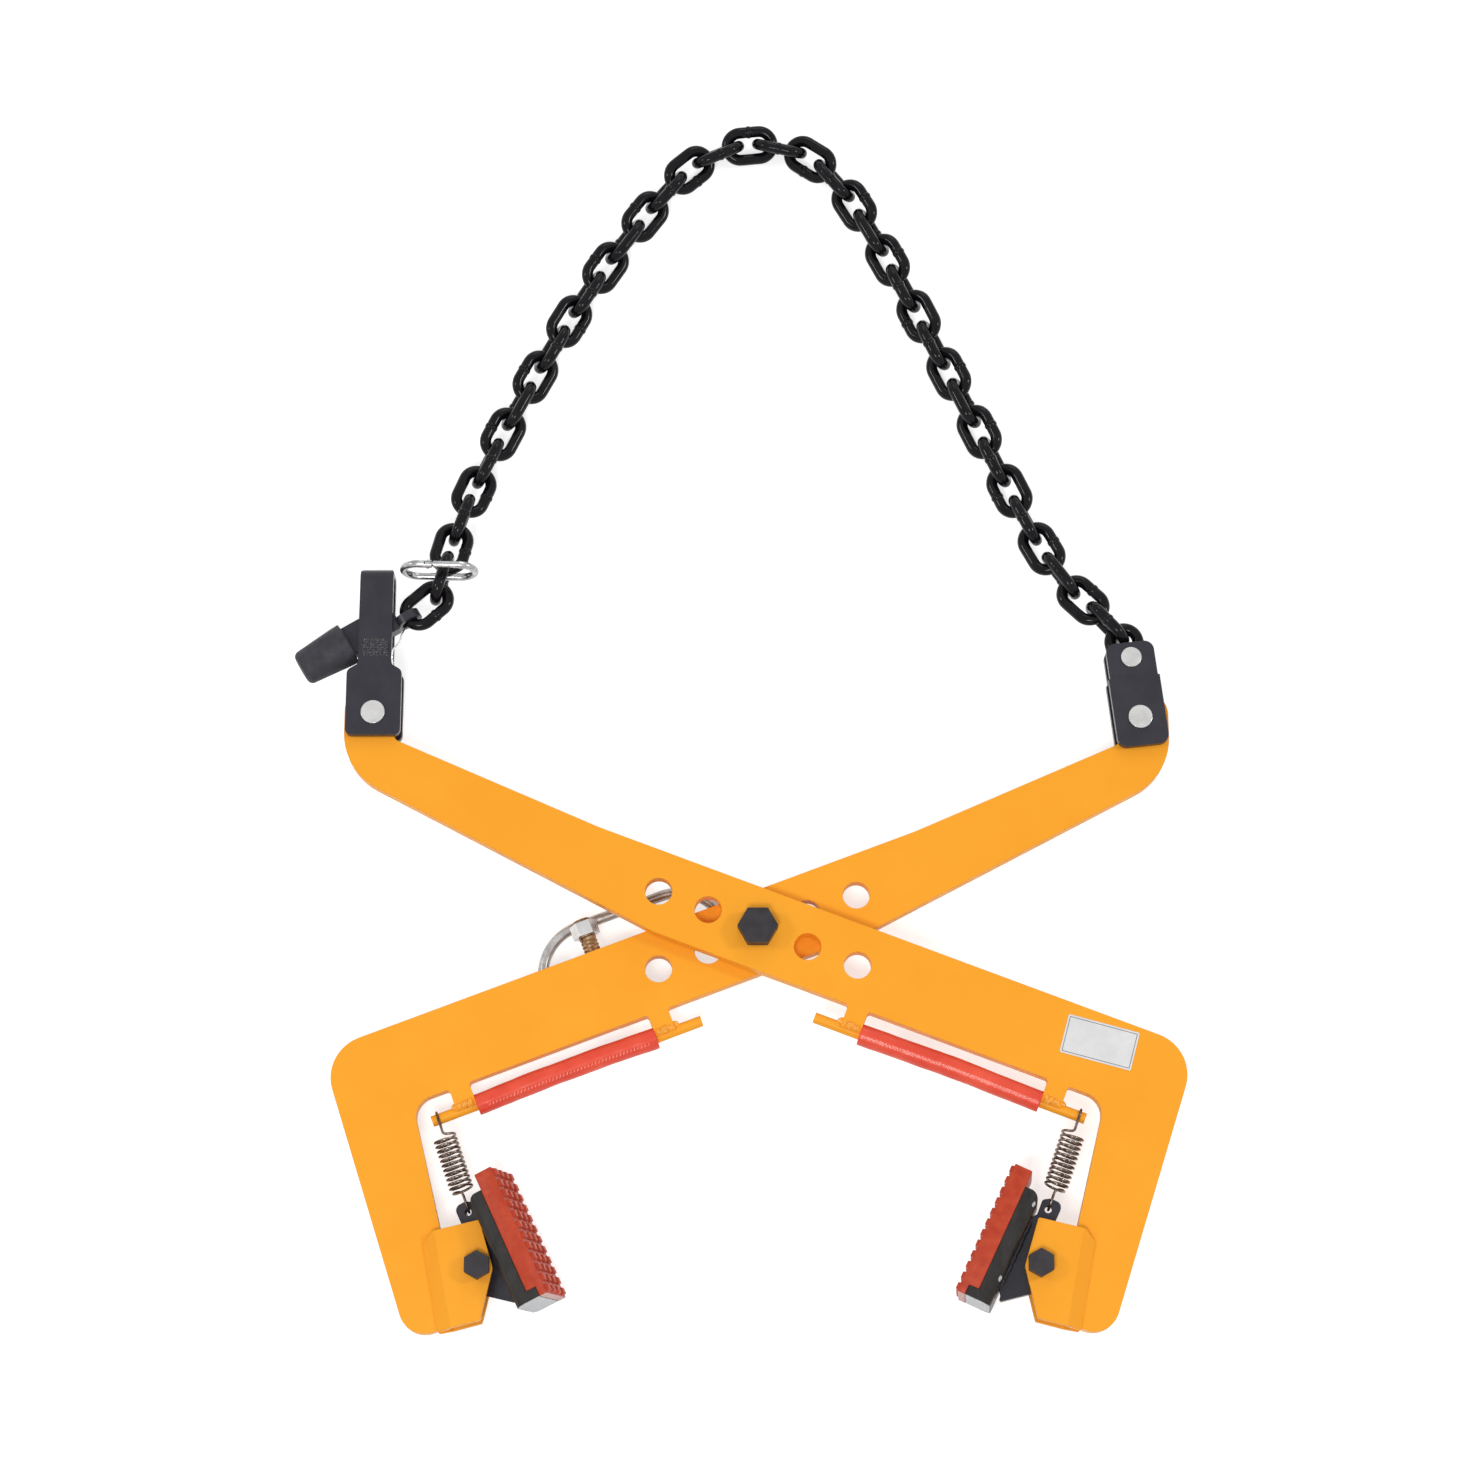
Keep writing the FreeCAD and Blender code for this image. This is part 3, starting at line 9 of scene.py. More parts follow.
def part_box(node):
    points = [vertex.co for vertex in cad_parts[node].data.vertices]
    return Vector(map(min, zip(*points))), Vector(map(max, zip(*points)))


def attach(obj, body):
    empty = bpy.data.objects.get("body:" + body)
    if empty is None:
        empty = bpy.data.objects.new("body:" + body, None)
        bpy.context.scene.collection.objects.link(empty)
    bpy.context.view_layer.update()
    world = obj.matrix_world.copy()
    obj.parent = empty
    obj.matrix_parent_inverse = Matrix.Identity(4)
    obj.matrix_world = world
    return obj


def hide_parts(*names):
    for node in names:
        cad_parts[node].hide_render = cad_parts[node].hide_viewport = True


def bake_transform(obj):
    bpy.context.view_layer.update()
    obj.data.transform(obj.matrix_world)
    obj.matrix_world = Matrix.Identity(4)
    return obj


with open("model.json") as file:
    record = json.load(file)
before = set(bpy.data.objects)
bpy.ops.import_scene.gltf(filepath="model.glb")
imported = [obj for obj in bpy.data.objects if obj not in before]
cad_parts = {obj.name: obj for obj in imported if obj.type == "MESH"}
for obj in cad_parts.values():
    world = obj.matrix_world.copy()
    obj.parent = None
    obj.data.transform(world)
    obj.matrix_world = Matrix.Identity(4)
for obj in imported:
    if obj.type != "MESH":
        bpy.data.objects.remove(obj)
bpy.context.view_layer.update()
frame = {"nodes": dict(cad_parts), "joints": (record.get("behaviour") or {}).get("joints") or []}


# Studio: a pale paper floor under the tongs, which lie flat, and soft light from the front and the sides.
# The camera stands high in front of the jaws and looks down on the tongs.
CAMERA_PLACE = Vector((0.00687, -0.9315, 3.1383))
CAMERA_TARGET = Vector((0.00687, -0.0495, 0.0623))
CAMERA_LENS = 84.32
CAMERA_SENSOR = 36.0
CAMERA_REACH = 50.0
SKY_LIGHT, SKY_SEEN = 0.45, 1.0
FLOOR_HALF = 6.0
FLOOR_DROP = 0.0004
PAPER_GREY = (0.76, 0.76, 0.76, 1)
PAPER_GLOW = 0.62
SQUARE = ((-1, -1), (1, -1), (1, 1), (-1, 1))

camera_data = bpy.data.cameras.new("camera")
camera_data.lens = CAMERA_LENS
camera_data.sensor_width = CAMERA_SENSOR
camera_data.clip_end = CAMERA_REACH
camera = bpy.data.objects.new("camera", camera_data)
camera.location = CAMERA_PLACE
camera.rotation_euler = (CAMERA_TARGET - CAMERA_PLACE).to_track_quat("-Z", "Y").to_euler()
bpy.context.scene.collection.objects.link(camera)
bpy.context.scene.camera = camera
bpy.context.scene.view_settings.view_transform = "Standard"


def soft_lamp(name, place, target, size, watts):
    """Large square lamp aimed at a point."""
    data = bpy.data.lights.new(name, "AREA")
    data.size = size
    data.energy = watts
    lamp = bpy.data.objects.new(name, data)
    lamp.location = place
    lamp.rotation_euler = (Vector(target) - Vector(place)).to_track_quat("-Z", "Y").to_euler()
    bpy.context.scene.collection.objects.link(lamp)


def seen_level(tree, unseen, seen):
    """One strength where light falls, another where the eye or a reflection sees the surface."""
    path = tree.nodes.new("ShaderNodeLightPath")
    level = tree.nodes.new("ShaderNodeMapRange")
    level.inputs["To Min"].default_value = unseen
    level.inputs["To Max"].default_value = seen
    met = path.outputs["Is Camera Ray"]
    for way in ("Is Glossy Ray", "Is Transmission Ray"):
        either = tree.nodes.new("ShaderNodeMath")
        either.operation = "MAXIMUM"
        tree.links.new(met, either.inputs[0])
        tree.links.new(path.outputs[way], either.inputs[1])
        met = either.outputs[0]
    tree.links.new(met, level.inputs["Value"])
    return level.outputs["Result"]


soft_lamp("front_lamp", (-0.35, -1.5, 2.7), (0, 0, 0), 0.8, 32)
soft_lamp("left_lamp", (-2.4, 0.2, 2.0), (0, 0, 0.05), 0.45, 14)
soft_lamp("right_lamp", (2.4, 0.2, 2.0), (0, 0, 0.05), 0.45, 19)
soft_lamp("back_lamp", (0.4, 2.6, 1.7), (0, 0.2, 0.05), 1.2, 9)

world = bpy.data.worlds.new("studio_world")
bpy.context.scene.world = world
world.use_nodes = True
sky = world.node_tree
sky_light = sky.nodes["Background"]
sky_light.inputs["Color"].default_value = (1, 1, 1, 1)
sky.links.new(seen_level(sky, SKY_LIGHT, SKY_SEEN), sky_light.inputs["Strength"])

floor_mesh = bpy.data.meshes.new("floor")
floor_mesh.from_pydata([(FLOOR_HALF * x, FLOOR_HALF * y, 0) for x, y in SQUARE], [], [(0, 1, 2, 3)])
floor = bpy.data.objects.new("floor", floor_mesh)
floor.location.z = -FLOOR_DROP
bpy.context.scene.collection.objects.link(floor)
floor_paper = bpy.data.materials.new("floor_paper")
floor_paper.use_nodes = True
paper = floor_paper.node_tree
paper_matt = paper.nodes["Principled BSDF"]
paper_matt.inputs["Base Color"].default_value = PAPER_GREY
paper_matt.inputs["Roughness"].default_value = 0.9
paper_matt.inputs["Specular IOR Level"].default_value = 0.0
paper_matt.inputs["Emission Color"].default_value = (1, 1, 1, 1)
paper.links.new(seen_level(paper, 0.0, PAPER_GLOW), paper_matt.inputs["Emission Strength"])
floor_mesh.materials.append(floor_paper)


# Arms: two flat steel plates cut to one outline, with a row of adjusting holes, and spray painted
# orange. The handle rods and the joggled fork cheeks are welded on before painting.
ORANGE = (0.965, 0.392, 0.024)
ORANGE_DEEP = (0.935, 0.368, 0.020)
ARM_SLOPE = math.radians(20.85)
REAR_ARM_BELOW = 0.0155
pivot = Vector(next(joint["pos_m"] for joint in frame["joints"] if joint["name"] == "tongs_pivot"))


def start_finish(name, metallic=0.0, shine=0.5):
    """Empty material with its shader, ready for colour, gloss and relief."""
    finish = bpy.data.materials.new(name)
    finish.use_nodes = True
    shader = finish.node_tree.nodes["Principled BSDF"]
    shader.inputs["Metallic"].default_value = metallic
    shader.inputs["Specular IOR Level"].default_value = shine
    return finish, finish.node_tree, shader


def grain(tree, scale, detail=3.0, stretch=(1, 1, 1)):
    """Noise in the piece's own coordinates, in metres."""
    place = tree.nodes.new("ShaderNodeTexCoord")
    sizing = tree.nodes.new("ShaderNodeMapping")
    sizing.inputs["Scale"].default_value = stretch
    cloud = tree.nodes.new("ShaderNodeTexNoise")
    cloud.inputs["Scale"].default_value = scale
    cloud.inputs["Detail"].default_value = detail
    tree.links.new(place.outputs["Object"], sizing.inputs["Vector"])
    tree.links.new(sizing.outputs["Vector"], cloud.inputs["Vector"])
    return cloud.outputs["Fac"]


def tint(tree, shader, spread, dark, light, low=0.35, high=0.65):
    """Base colour that drifts between two shades."""
    ramp = tree.nodes.new("ShaderNodeValToRGB")
    ramp.color_ramp.elements[0].position = low
    ramp.color_ramp.elements[1].position = high
    ramp.color_ramp.elements[0].color = (*dark, 1)
    ramp.color_ramp.elements[1].color = (*light, 1)
    tree.links.new(spread, ramp.inputs["Fac"])
    tree.links.new(ramp.outputs["Color"], shader.inputs["Base Color"])


def dull(tree, shader, spread, least, most):
    """Gloss that drifts between two roughnesses."""
    level = tree.nodes.new("ShaderNodeMapRange")
    level.inputs["From Min"].default_value = 0.3
    level.inputs["From Max"].default_value = 0.7
    level.inputs["To Min"].default_value = least
    level.inputs["To Max"].default_value = most
    tree.links.new(spread, level.inputs["Value"])
    tree.links.new(level.outputs["Result"], shader.inputs["Roughness"])


def relief(tree, shader, spread, height, edge=0.0):
    """Fine relief in metres, over edges that are rounded by a small radius."""
    bump = tree.nodes.new("ShaderNodeBump")
    bump.inputs["Strength"].default_value = 1.0
    bump.inputs["Distance"].default_value = height
    tree.links.new(spread, bump.inputs["Height"])
    if edge:
        rounding = tree.nodes.new("ShaderNodeBevel")
        rounding.samples = 4
        rounding.inputs["Radius"].default_value = edge
        tree.links.new(rounding.outputs["Normal"], bump.inputs["Normal"])
    tree.links.new(bump.outputs["Normal"], shader.inputs["Normal"])


def finish_nodes(finish, *names):
    """Gives CAD nodes a finish."""
    for name in names:
        for place in frame["nodes"][name].material_slots:
            place.material = finish


def arm_spot(u, v, height=0.0, rear=False):
    """Arm coordinates to the frame: u along the holes, v square to them, height over mid-plate."""
    x = u * math.cos(ARM_SLOPE) + v * math.sin(ARM_SLOPE)
    y = -u * math.sin(ARM_SLOPE) + v * math.cos(ARM_SLOPE)
    if rear:
        return pivot + Vector((-x, y, height - REAR_ARM_BELOW))
    return pivot + Vector((x, y, height))


orange_paint, tree, shader = start_finish("orange_paint", shine=0.2)
tint(tree, shader, grain(tree, 14.0, 4.0), ORANGE_DEEP, ORANGE)
dull(tree, shader, grain(tree, 60.0), 0.36, 0.48)
relief(tree, shader, grain(tree, 650.0, 2.0), 0.00003, 0.0009)
finish_nodes(
    orange_paint, "front_arm", "rear_arm", "front_handle_rod", "rear_handle_rod", "ring_block",
    "front_cheek_upper", "front_cheek_lower", "rear_cheek_upper", "rear_cheek_lower")


# Weld beads that hold the handle rods to the arms' tabs: short hand-laid runs of rippled metal,
# painted over with the arms.
ORANGE_BRIGHT = (0.98, 0.45, 0.05)
TAB_STARTS = (0.102, 0.294)
TAB_WIDTH = 0.019
ROD_V = -0.058
BEAD_RADIUS = 0.0037
BEAD_INSET = 0.0015
BEAD_V = ROD_V + 0.0036
BEAD_RISE = 0.0052
SIDE_BEAD_RADIUS = BEAD_RADIUS * 0.9
SIDE_BEAD_V = ROD_V + 0.0042
SIDE_BEAD_HALF = 0.004
SIDE_BEAD_PLACES = (TAB_STARTS[0] - 0.0006, TAB_STARTS[1] + TAB_WIDTH + 0.0002)
WELD_STEP = 0.0004
WELD_SIDES = 12
WELD_RIPPLE = 0.0016
WANDER_GRAIN, WANDER_SHARE = 300, 0.25
SWELL_GRAIN, SWELL_SHARE = 220, 0.35
RIPPLE_SHARE = 0.14
TAPER_PART, TAPER_LEAST = 0.12, 0.35


def add_piece(name, mesh, finish, body):
    """New smooth-shaded piece, attached to a body when one is given."""
    piece = bpy.data.objects.new(name, mesh)
    bpy.context.scene.collection.objects.link(piece)
    mesh.materials.append(finish)
    mesh.polygons.foreach_set("use_smooth", [True] * len(mesh.polygons))
    if body is not None:
        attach(piece, body)
    return piece


def ring_faces(rings, sides, closed):
    """Faces between rings of vertices, and from the last ring to the first if closed."""
    faces = []
    for ring in range(rings if closed else rings - 1):
        here, there = ring * sides, (ring + 1) % rings * sides
        for step in range(sides):
            beside = (step + 1) % sides
            faces.append((here + step, here + beside, there + beside, there + step))
    return faces


def tube(line, radii, sides=16, closed=False):
    """Vertices and faces of a round tube along a line of points, with a radius at each."""
    count = len(line)
    verts = []
    up = None
    for index, spot in enumerate(line):
        if closed:
            way = line[(index + 1) % count] - line[index - 1]
        else:
            way = line[min(index + 1, count - 1)] - line[max(index - 1, 0)]
        way.normalize()
        if up is None:
            up = way.orthogonal().normalized()
        up = (up - way * up.dot(way)).normalized()
        side = way.cross(up)
        for step in range(sides):
            turn = 2 * math.pi * step / sides
            verts.append(spot + (up * math.cos(turn) + side * math.sin(turn)) * radii[index])
    faces = ring_faces(count, sides, closed)
    if not closed:
        faces.append(tuple(reversed(range(sides))))
        faces.append(tuple(range((count - 1) * sides, count * sides)))
    return verts, faces


def weld_run(start, end, radius, seed, ripple=WELD_RIPPLE):
    """Rippled bead between two points, swelling and shrinking a little along its length."""
    length = (end - start).length
    steps = max(10, int(length / WELD_STEP))
    spots, radii = [], []
    for step in range(steps + 1):
        part = step / steps
        along = length * part
        across = noise.noise((along * WANDER_GRAIN, seed, 0))
        forward = noise.noise((along * WANDER_GRAIN, seed, 5))
        spots.append(start.lerp(end, part) + Vector((across, forward, 0)) * radius * WANDER_SHARE)
        swell = 1.0 + RIPPLE_SHARE * math.sin(2 * math.pi * along / ripple)
        swell += SWELL_SHARE * noise.noise((along * SWELL_GRAIN, seed, 9))
        from_end = min(part, 1 - part)
        taper = 1.0
        if from_end < TAPER_PART:
            rise = math.sin(math.pi * from_end / (2 * TAPER_PART))
            taper = min(1.0, TAPER_LEAST + (1 - TAPER_LEAST) * rise)
        radii.append(radius * swell * taper)
    return tube(spots, radii, WELD_SIDES)


def join_tubes(name, runs):
    """One mesh from several runs of vertices and faces."""
    verts, faces = [], []
    for run_verts, run_faces in runs:
        base = len(verts)
        verts += run_verts
        faces += [tuple(corner + base for corner in face) for face in run_faces]
    mesh = bpy.data.meshes.new(name)
    mesh.from_pydata(verts, [], faces)
    return mesh


orange_bead, tree, shader = start_finish("orange_bead", shine=0.5)
tint(tree, shader, grain(tree, 220.0, 4.0), ORANGE_DEEP, ORANGE_BRIGHT)
dull(tree, shader, grain(tree, 400.0), 0.12, 0.3)
relief(tree, shader, grain(tree, 700.0, 3.0), 0.00025)
for rear, body in ((False, "front_arm"), (True, "rear_arm")):
    name = body + "_handle_welds"
    runs = []
    for tab, start in enumerate(TAB_STARTS):
        for face in (1, -1):
            first = arm_spot(start + BEAD_INSET, BEAD_V, face * BEAD_RISE, rear)
            last = arm_spot(start + TAB_WIDTH - BEAD_INSET, BEAD_V, face * BEAD_RISE, rear)
            runs.append(weld_run(first, last, BEAD_RADIUS, 3.1 * tab + face))
        low = arm_spot(SIDE_BEAD_PLACES[tab], SIDE_BEAD_V, -SIDE_BEAD_HALF, rear)
        high = arm_spot(SIDE_BEAD_PLACES[tab], SIDE_BEAD_V, SIDE_BEAD_HALF, rear)
        runs.append(weld_run(low, high, SIDE_BEAD_RADIUS, 7.7 * tab))
    add_piece(name, join_tubes(name, runs), orange_bead, body)


# Grips: lengths of soft red hose pushed over the handle rods between the tabs. The hose is slit and
# sewn along its upper side, bows a little, and its ends are cut square.
GRIP_RED = (0.74, 0.055, 0.026)
GRIP_RED_LIGHT = (0.86, 0.095, 0.045)
GRIP_START = 0.121
GRIP_LENGTH = 0.173
GRIP_RADIUS = 0.0098
GRIP_BORE = 0.0052
GRIP_BOW = 0.0014
GRIP_RINGS = 150
GRIP_SIDES = 56
LIP_DROP, LIP_LENGTH = 0.0006, 0.0004
CREASE_HEIGHT, PINCH_HEIGHT = 0.00022, 0.0003
SLIT_DEPTH, SLIT_WIDTH = 0.00035, 0.05
STITCH_COUNT = 46
STITCH_START, STITCH_PITCH = 0.009, 0.0034
STITCH_STEPS = 6
STITCH_RADIUS = 0.0004
STITCH_RISE, STITCH_DIP = 0.00012, 0.0006
STITCH_TURN, STITCH_SLANT = 0.26, 0.0016


def settle(mesh, place=Matrix.Identity(4)):
    """Moves a mesh into the frame and turns all its faces outwards."""
    shaped = bmesh.new()
    shaped.from_mesh(mesh)
    bmesh.ops.transform(shaped, matrix=place, verts=shaped.verts)
    bmesh.ops.recalc_face_normals(shaped, faces=shaped.faces)
    shaped.to_mesh(mesh)
    shaped.free()


red_hose, tree, shader = start_finish("red_hose", shine=0.3)
tint(tree, shader, grain(tree, 45.0, 4.0), GRIP_RED, GRIP_RED_LIGHT, 0.3, 0.75)
dull(tree, shader, grain(tree, 120.0), 0.34, 0.5)
relief(tree, shader, grain(tree, 900.0, 3.0), 0.00006)
shader.inputs["Coat Weight"].default_value = 0.15
red_thread, tree, shader = start_finish("red_thread")
tint(tree, shader, grain(tree, 400.0), (0.9, 0.26, 0.18), (0.97, 0.45, 0.36))
relief(tree, shader, grain(tree, 2500.0), 0.00005)
shader.inputs["Roughness"].default_value = 0.6

hose_profile = [(0.0, GRIP_BORE), (0.0, GRIP_RADIUS - LIP_DROP), (LIP_LENGTH, GRIP_RADIUS)]
hose_far_end = [(GRIP_LENGTH - along, radius) for along, radius in reversed(hose_profile)]
hose_profile += [(GRIP_LENGTH * ring / GRIP_RINGS, GRIP_RADIUS) for ring in range(1, GRIP_RINGS)]
hose_profile += hose_far_end
for rear, body, node, seam_lean in (
        (False, "front_arm", "front_grip", 0.3), (True, "rear_arm", "rear_grip", 0.56)):
    seam_turn = math.pi / 2 + seam_lean
    verts = []
    for along, radius in hose_profile:
        bow = GRIP_BOW * math.sin(math.pi * (along / GRIP_LENGTH))
        for step in range(GRIP_SIDES):
            turn = 2 * math.pi * step / GRIP_SIDES
            local = radius
            if radius > GRIP_BORE:
                crease = noise.noise((along * 90, math.cos(turn) * 1.5, math.sin(turn) * 1.5 + 3 * rear))
                pinch = noise.noise((along * 38 + 4, 2.0 + 5 * rear, 0.4 * math.cos(turn)))
                local = radius + CREASE_HEIGHT * crease + PINCH_HEIGHT * pinch
                local -= SLIT_DEPTH * math.exp(-((turn - seam_turn) / SLIT_WIDTH) ** 2)
            v = ROD_V + local * math.cos(turn) + bow
            verts.append(arm_spot(GRIP_START + along, v, local * math.sin(turn), rear))
    mesh = bpy.data.meshes.new(node + "_hose")
    mesh.from_pydata(verts, [], ring_faces(len(hose_profile), GRIP_SIDES, True))
    settle(mesh)
    hose = add_piece(node + "_hose", mesh, red_hose, body)
    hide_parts(node)
    stitches = []
    for stitch in range(STITCH_COUNT):
        along = STITCH_START + stitch * STITCH_PITCH
        bow = GRIP_BOW * math.sin(math.pi * along / GRIP_LENGTH)
        spots = []
        for step in range(STITCH_STEPS + 1):
            part = step / STITCH_STEPS - 0.5
            lift = GRIP_RADIUS + STITCH_RISE - STITCH_DIP * (2 * part) ** 2
            around = seam_turn + part * STITCH_TURN
            u = GRIP_START + along + part * STITCH_SLANT
            v = ROD_V + bow + lift * math.cos(around)
            spots.append(arm_spot(u, v, lift * math.sin(around), rear))
        stitches.append(tube(spots, [STITCH_RADIUS] * len(spots), 8))
    add_piece(node + "_stitches", join_tubes(node + "_stitches", stitches), red_thread, body)


# Pivot and jaw bolts: forged hexagon bolts and nuts of blackened steel. The pivot bolt holds the arms
# together over thin washers, and a jaw bolt holds each jaw between its cheeks.
black_steel, tree, shader = start_finish("black_steel", shine=0.3)
tint(tree, shader, grain(tree, 90.0, 4.0), (0.020, 0.0175, 0.0205), (0.033, 0.029, 0.034))
dull(tree, shader, grain(tree, 200.0), 0.34, 0.52)
relief(tree, shader, grain(tree, 1200.0), 0.00003, 0.0006)
finish_nodes(
    black_steel, "pivot_bolt", "pivot_nut", "pivot_washers",
    "right_jaw_bolt", "right_jaw_nut", "left_jaw_bolt", "left_jaw_nut")


# Jaws: a flat steel bar with a toe, and a lug welded behind it for bolt and spring, all painted black.
# The bars' lower ends are left as the saw cut them, bare grey steel, and two weld spots shine bare too.
BLACK_DEEP = (0.025, 0.0235, 0.032)
BLACK = (0.034, 0.0325, 0.044)
BAR_BACK = 0.0234
BAR_FRONT = 0.0384
BAR_BOTTOM = 0.054
BAR_CORNER = 0.008
CORNER_STEPS = 8
TOE_LENGTH = 0.0094
PAD_HALF = 0.030
EAR_X, EAR_Y = 0.0132, 0.0486
JAW_LEAN = math.radians(25.5)
JAW_BOLT_U, JAW_BOLT_V = 0.3425, -0.197
JAW_ROCKS = {"right": math.radians(-4.0), "left": math.radians(14.0)}
CUT_SKIN, CUT_DEPTH, CUT_INSET = 0.00025, 0.0004, 0.0007
LUG_WELD_RADIUS = 0.0024
LUG_WELD_X = BAR_BACK - 0.0002
LUG_WELD_HALF, LUG_WELD_RISE = 0.034, 0.0046
SPOT_PLACES = (0.0437, -0.0284)
SPOT_RADIUS, SPOT_EDGE = 0.0021, 0.0022
SPOT_STRETCH = Vector((0.8, 1.4, 0.8))
ACROSS = Matrix.Scale(-1, 4, Vector((1, 0, 0)))

black_paint, tree, shader = start_finish("black_paint", shine=0.28)
tint(tree, shader, grain(tree, 40.0, 5.0), BLACK_DEEP, BLACK)
dull(tree, shader, grain(tree, 150.0, 4.0), 0.2, 0.34)
relief(tree, shader, grain(tree, 420.0, 4.0), 0.00005, 0.0012)
finish_nodes(black_paint, "right_jaw_lug", "left_jaw_lug")

bar_black, tree, shader = start_finish("bar_black", shine=0.3)
rolled = grain(tree, 130.0, 5.0, (1.0, 0.3, 1.0))
tint(tree, shader, rolled, (0.009, 0.0078, 0.007), (0.023, 0.0195, 0.018))
dull(tree, shader, grain(tree, 220.0, 4.0), 0.28, 0.5)
relief(tree, shader, grain(tree, 700.0, 4.0, (1.0, 0.3, 1.0)), 0.00006, 0.001)
finish_nodes(bar_black, "right_jaw_bar", "left_jaw_bar")

sawn_steel, tree, shader = start_finish("sawn_steel", 0.7)
tint(tree, shader, grain(tree, 900.0, 2.0, (1.0, 0.12, 1.0)), (0.3, 0.31, 0.32), (0.5, 0.51, 0.52))
dull(tree, shader, grain(tree, 500.0), 0.35, 0.6)
relief(tree, shader, grain(tree, 1500.0, 2.0, (1.0, 0.1, 1.0)), 0.00004)


def jaw_frame(side):
    """Jaw coordinates (x towards the load, y up along the pad, from the bolt) to the frame."""
    rock = Matrix.Rotation(-JAW_ROCKS[side], 4, Vector((EAR_X, EAR_Y, 0)).normalized())
    lean = Matrix.Rotation(-JAW_LEAN, 4, "Z")
    spot = arm_spot(JAW_BOLT_U, JAW_BOLT_V) - pivot
    placed = Matrix.Translation(spot) @ lean @ ACROSS @ rock
    if side == "left":
        placed = Matrix.Translation((0, 0, -REAR_ARM_BELOW)) @ ACROSS @ placed
    return Matrix.Translation(pivot) @ placed


cut_front = BAR_FRONT + TOE_LENGTH - CUT_INSET
cut_edge = PAD_HALF - CUT_INSET
cut_corner = BAR_CORNER - CUT_INSET
back_curve = []
for step in range(CORNER_STEPS + 1):
    turn = math.radians(90 + 90 * step / CORNER_STEPS)
    back_curve.append((
        BAR_BACK + BAR_CORNER + cut_corner * math.cos(turn),
        PAD_HALF - BAR_CORNER + cut_corner * math.sin(turn)))
cut_ring = [(cut_front, -cut_edge), (cut_front, cut_edge)] + back_curve
cut_ring += [(x, -z) for x, z in reversed(back_curve)]
count = len(cut_ring)
cut_faces = [tuple(range(count)), tuple(range(2 * count - 1, count - 1, -1))]
cut_faces += [(i, (i + 1) % count, (i + 1) % count + count, i + count) for i in range(count)]
for side in ("right", "left"):
    place = jaw_frame(side)
    verts = [(x, -BAR_BOTTOM + CUT_DEPTH, z) for x, z in cut_ring]
    verts += [(x, -BAR_BOTTOM - CUT_SKIN, z) for x, z in cut_ring]
    mesh = bpy.data.meshes.new(side + "_bar_cut_end")
    mesh.from_pydata(verts, [], cut_faces)
    settle(mesh, place)
    cut_end = add_piece(side + "_bar_cut_end", mesh, sawn_steel, side + "_jaw")
    cut_end.data.polygons.foreach_set("use_smooth", [False] * len(cut_end.data.polygons))
    name = side + "_lug_welds"
    runs = []
    for face in (1, -1):
        first = place @ Vector((LUG_WELD_X, -LUG_WELD_HALF, face * LUG_WELD_RISE))
        last = place @ Vector((LUG_WELD_X, LUG_WELD_HALF, face * LUG_WELD_RISE))
        runs.append(weld_run(first, last, LUG_WELD_RADIUS, 11.3 + face))
    add_piece(name, join_tubes(name, runs), black_paint, side + "_jaw")

shaped = bmesh.new()
for y in SPOT_PLACES:
    for vert in bmesh.ops.create_icosphere(shaped, subdivisions=3, radius=SPOT_RADIUS)["verts"]:
        lump = 1 + 0.22 * noise.noise(vert.co * 900 + Vector((y * 300, 0, 0)))
        vert.co = vert.co * SPOT_STRETCH * lump
        vert.co += Vector((BAR_BACK + SPOT_EDGE, y, PAD_HALF - SPOT_EDGE))
mesh = bpy.data.meshes.new("right_bar_weld_spots")
shaped.to_mesh(mesh)
shaped.free()
settle(mesh, jaw_frame("right"))
add_piece("right_bar_weld_spots", mesh, sawn_steel, "right_jaw")


# Jaw pads: moulded brick-red rubber, held on the bars' faces, with rows of tapered nubs that grip the
# load. The lower edge is trimmed with a knife and paler.
PAD_FACE = 0.0548
PAD_TOP = 0.070
PAD_BOTTOM = 0.0545
PAD_REBATE = -0.045
PAD_EDGE = 0.0007
NUB_ROWS, NUB_COLUMNS = 12, 4
NUB_HEIGHT, NUB_SINK = 0.0028, 0.0005
NUB_LENGTH, NUB_WIDTH = 0.0074, 0.0088
NUB_TAPER = 0.78
NUB_EDGE = 0.0006
TRIM_DEPTH = 0.0004

pad_rubber, tree, shader = start_finish("pad_rubber", shine=0.22)
tint(tree, shader, grain(tree, 120.0, 5.0), (0.43, 0.040, 0.015), (0.54, 0.066, 0.025), 0.3, 0.7)
dull(tree, shader, grain(tree, 300.0), 0.34, 0.55)
relief(tree, shader, grain(tree, 1100.0, 4.0), 0.00008)
cut_rubber, tree, shader = start_finish("cut_rubber", shine=0.2)
tint(tree, shader, grain(tree, 500.0, 4.0), (0.68, 0.40, 0.37), (0.80, 0.58, 0.55))
relief(tree, shader, grain(tree, 1500.0, 4.0), 0.0001)
shader.inputs["Roughness"].default_value = 0.75

row_pitch = (PAD_TOP + PAD_BOTTOM) / NUB_ROWS
column_pitch = 2 * PAD_HALF / NUB_COLUMNS
pad_section = (
    (BAR_FRONT, PAD_TOP), (PAD_FACE, PAD_TOP), (PAD_FACE, -PAD_BOTTOM),
    (BAR_FRONT + TOE_LENGTH, -PAD_BOTTOM), (BAR_FRONT + TOE_LENGTH, PAD_REBATE), (BAR_FRONT, PAD_REBATE))


